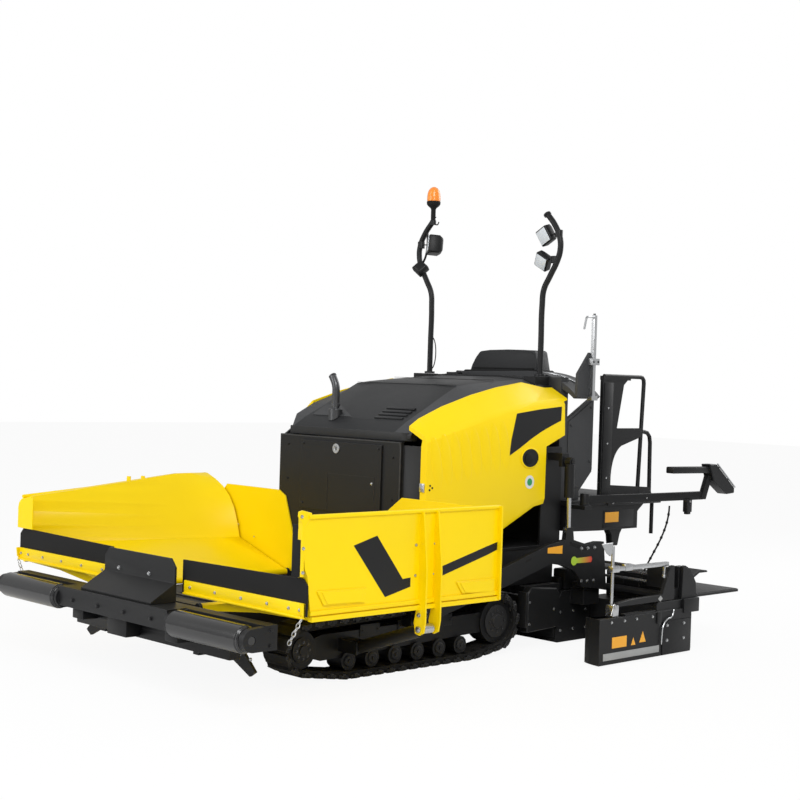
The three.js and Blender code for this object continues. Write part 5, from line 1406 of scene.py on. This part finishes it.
def buildExtensionTrim(name, side, values):
    body = f"extension_{name}"
    face = values["faceY"] * side
    bm = bmesh.new()
    addSlab(bm, values["column"][0], (1.6482, 1.656), values["column"][1], side, 0.004)
    addPlate(bm, values["arm"], "y", 1.590 * side, 1.625 * side, 0.004)
    addSlab(bm, values["block"][0], (1.6325, 1.658), values["block"][1], side, 0.005)
    addPlate(bm, values["flap"], "y", 1.300 * side, 1.585 * side, 0.004)
    addSlab(bm, (-1.490, -1.455), (1.380, 1.585), (0.4805, 0.640), side, 0.005)
    addSlab(bm, (-1.220, -0.860), (1.6000, 1.646), (0.3353, 0.350), side, 0.003)
    addSlab(bm, (-1.280, -1.230), (1.6482, 1.660), (0.250, 0.334), side, 0.004)
    addSlab(bm, (-1.738, -1.632), (0.860, 1.500), (0.3305, 0.560), side, 0.010)
    for y in (0.98, 1.16, 1.34):
        addSlab(bm, (-1.630, -1.622), (y - 0.06, y + 0.06), (0.370, 0.520), side, 0.003)
    finishPiece(f"extension_fittings_{name}", bm, "blackEnamel", body)
    bm = bmesh.new()
    for x, z in values["columnBolts"]:
        addBolt(bm, (x, 1.6562 * side, z), (0, side, 0), 0.0095)
    for x, z in values["topBolts"]:
        addBolt(bm, (x, face, z - 0.012), (0, side, 0), 0.008)
    x, y, low, high = values["rod"]
    addDisc(bm, (x, y * side, low), (0, 0, 1), 0.0125, high - low, 16)
    addSlab(bm, *values["clamp"], side, 0.006)
    addPlate(bm, values["flag"], "y", 1.580 * side, 1.590 * side, 0.002)
    addSlab(bm, *values["handle"], side, 0.005)
    addSlab(bm, (-0.830, -0.748), (1.560, 1.610), (0.648, 0.694), side, 0.006)
    addSlab(bm, (-0.985, -0.900), (1.562, 1.608), (0.650, 0.700), side, 0.008)
    addSlab(bm, (-1.405, -1.380), (1.574, 1.596), (0.588, 0.655), side, 0.006)
    addDisc(bm, (-1.392, 1.585 * side, 0.570), (0, 0, 1), 0.015, 0.022, 14, 0.004)
    for x, z in values["rods"]:
        addDisc(bm, (x, 0.780 * side, z), (0, side, 0), 0.011, 0.605, 14, 0.0)
    addTube(bm, [(x, 1.661 * side, z) for x, z in ((-1.425, 0.340), (-1.400, 0.290), (-1.340, 0.272), (-1.296, 0.225),
                                                   (-1.284, 0.150), (-1.281, 0.096))], 0.0055, 3)
    addTube(bm, [(x, 1.640 * side, z) for x, z in ((-0.700, 0.352), (-0.720, 0.400), (-0.735, 0.430), (-0.752, 0.400))],
            0.004, 3)
    finishPiece(f"extension_steel_{name}", bm, "bareSteel", body)
    bm = bmesh.new()
    addSlab(bm, values["sign"][0], (1.6482, 1.6492), values["sign"][1], side, 0.0)
    for x, z, half in values["triangles"]:
        addPlate(bm, [(x - half, z), (x + half, z), (x, z + half * 2.1)], "y", face, face + 0.001 * side, 0.0)
    finishPiece(f"end_plate_signs_{name}", bm, "orangePlate", body)
    bm = bmesh.new()
    addSlab(bm, values["scale"][0], (1.6482, 1.6520), values["scale"][1], side, 0.001)
    x, z, half = values["diamond"]
    corners = [(x - half * 1.3, z), (x, z - half), (x + half * 1.3, z), (x, z + half)]
    addPlate(bm, corners, "y", 1.6252 * side, 1.6268 * side, 0.0)
    finishPiece(f"end_plate_scale_{name}", bm, "wornPlate", body)
    bm = bmesh.new()
    addSlab(bm, (-2.412, -1.862), (0.870, 1.550), (0.4073, 0.4105), side, 0.001)
    finishPiece(f"footboard_tread_{name}", bm, "treadSteel", body)


for name, side in sides.items():
    buildExtensionTrim(name, side, extensionTrim)
print("screed extensions trimmed")


# bolts of the depth crank on its post

smallParts = {
    "bolts": [((-1.275, 0.9602, 2.155), 0.008), ((-1.248, 0.9752, 2.155), 0.007), ((-1.302, 0.9752, 2.155), 0.007)],
    "knob": (-1.2745, 0.945, 2.5101),
    "knobRadius": 0.010,
    "knobHeight": 0.014,
}


def buildSmallParts(values):
    bm = bmesh.new()
    for place, radius in values["bolts"]:
        addBolt(bm, place, (0, 1, 0), radius)
    addDisc(bm, values["knob"], (0, 0, 1), values["knobRadius"], values["knobHeight"], 12)
    finishPiece("crank_bolts", bm, "darkSteel", "chassis")


buildSmallParts(smallParts)
print("small parts built")


# studio

def buildStudio(values):
    scene = bpy.context.scene
    world = bpy.data.worlds.new("studioWorld")
    scene.world = world
    world.use_nodes = True
    tree = world.node_tree
    background = tree.nodes["Background"]
    background.inputs["Color"].default_value = (1, 1, 1, 1)
    seen = tree.nodes.new("ShaderNodeLightPath")
    direct = mathNode(tree, "MAXIMUM", seen.outputs["Is Camera Ray"], seen.outputs["Is Transmission Ray"])
    strength = tree.nodes.new("ShaderNodeMapRange")
    strength.inputs["To Min"].default_value = values["worldStrength"]
    strength.inputs["To Max"].default_value = 1.0
    tree.links.new(direct, strength.inputs["Value"])
    tree.links.new(strength.outputs[0], background.inputs["Strength"])

    bm = bmesh.new()
    bmesh.ops.create_grid(bm, x_segments=1, y_segments=1, size=values["floorSize"] / 2)
    bmesh.ops.translate(bm, verts=bm.verts, vec=Vector((0, 0, -0.001)))
    mesh = bpy.data.meshes.new("studioFloor")
    bm.to_mesh(mesh)
    bm.free()
    floor = bpy.data.objects.new("studioFloor", mesh)
    scene.collection.objects.link(floor)
    material = bpy.data.materials.new("floorWhite")
    material.use_nodes = True
    tree = material.node_tree
    tree.nodes.remove(tree.nodes["Principled BSDF"])
    diffuse = tree.nodes.new("ShaderNodeBsdfDiffuse")
    diffuse.inputs["Color"].default_value = (*values["floorColor"], 1.0)
    glow = tree.nodes.new("ShaderNodeEmission")
    glow.inputs["Strength"].default_value = 1.0
    seen = tree.nodes.new("ShaderNodeLightPath")
    share = mathNode(tree, "MULTIPLY", seen.outputs["Is Camera Ray"], values["floorWhite"])
    blend = tree.nodes.new("ShaderNodeMixShader")
    tree.links.new(share, blend.inputs[0])
    tree.links.new(diffuse.outputs[0], blend.inputs[1])
    tree.links.new(glow.outputs[0], blend.inputs[2])
    tree.links.new(blend.outputs[0], tree.nodes["Material Output"].inputs["Surface"])
    mesh.materials.append(material)

    for name in ("key", "fill", "rear"):
        lamp = values[name]
        data = bpy.data.lights.new(name, "AREA")
        data.shape = "DISK"
        data.size = lamp["size"]
        data.energy = lamp["energy"]
        light = bpy.data.objects.new(name, data)
        aim = Vector((0.0, 0.0, 1.0)) - Vector(lamp["place"])
        light.matrix_world = Matrix.Translation(lamp["place"]) @ aim.to_track_quat("-Z", "Y").to_matrix().to_4x4()
        scene.collection.objects.link(light)


buildStudio(studio)
bpy.context.scene.view_settings.view_transform = "Standard"
print("studio built")

bpy.context.view_layer.update()
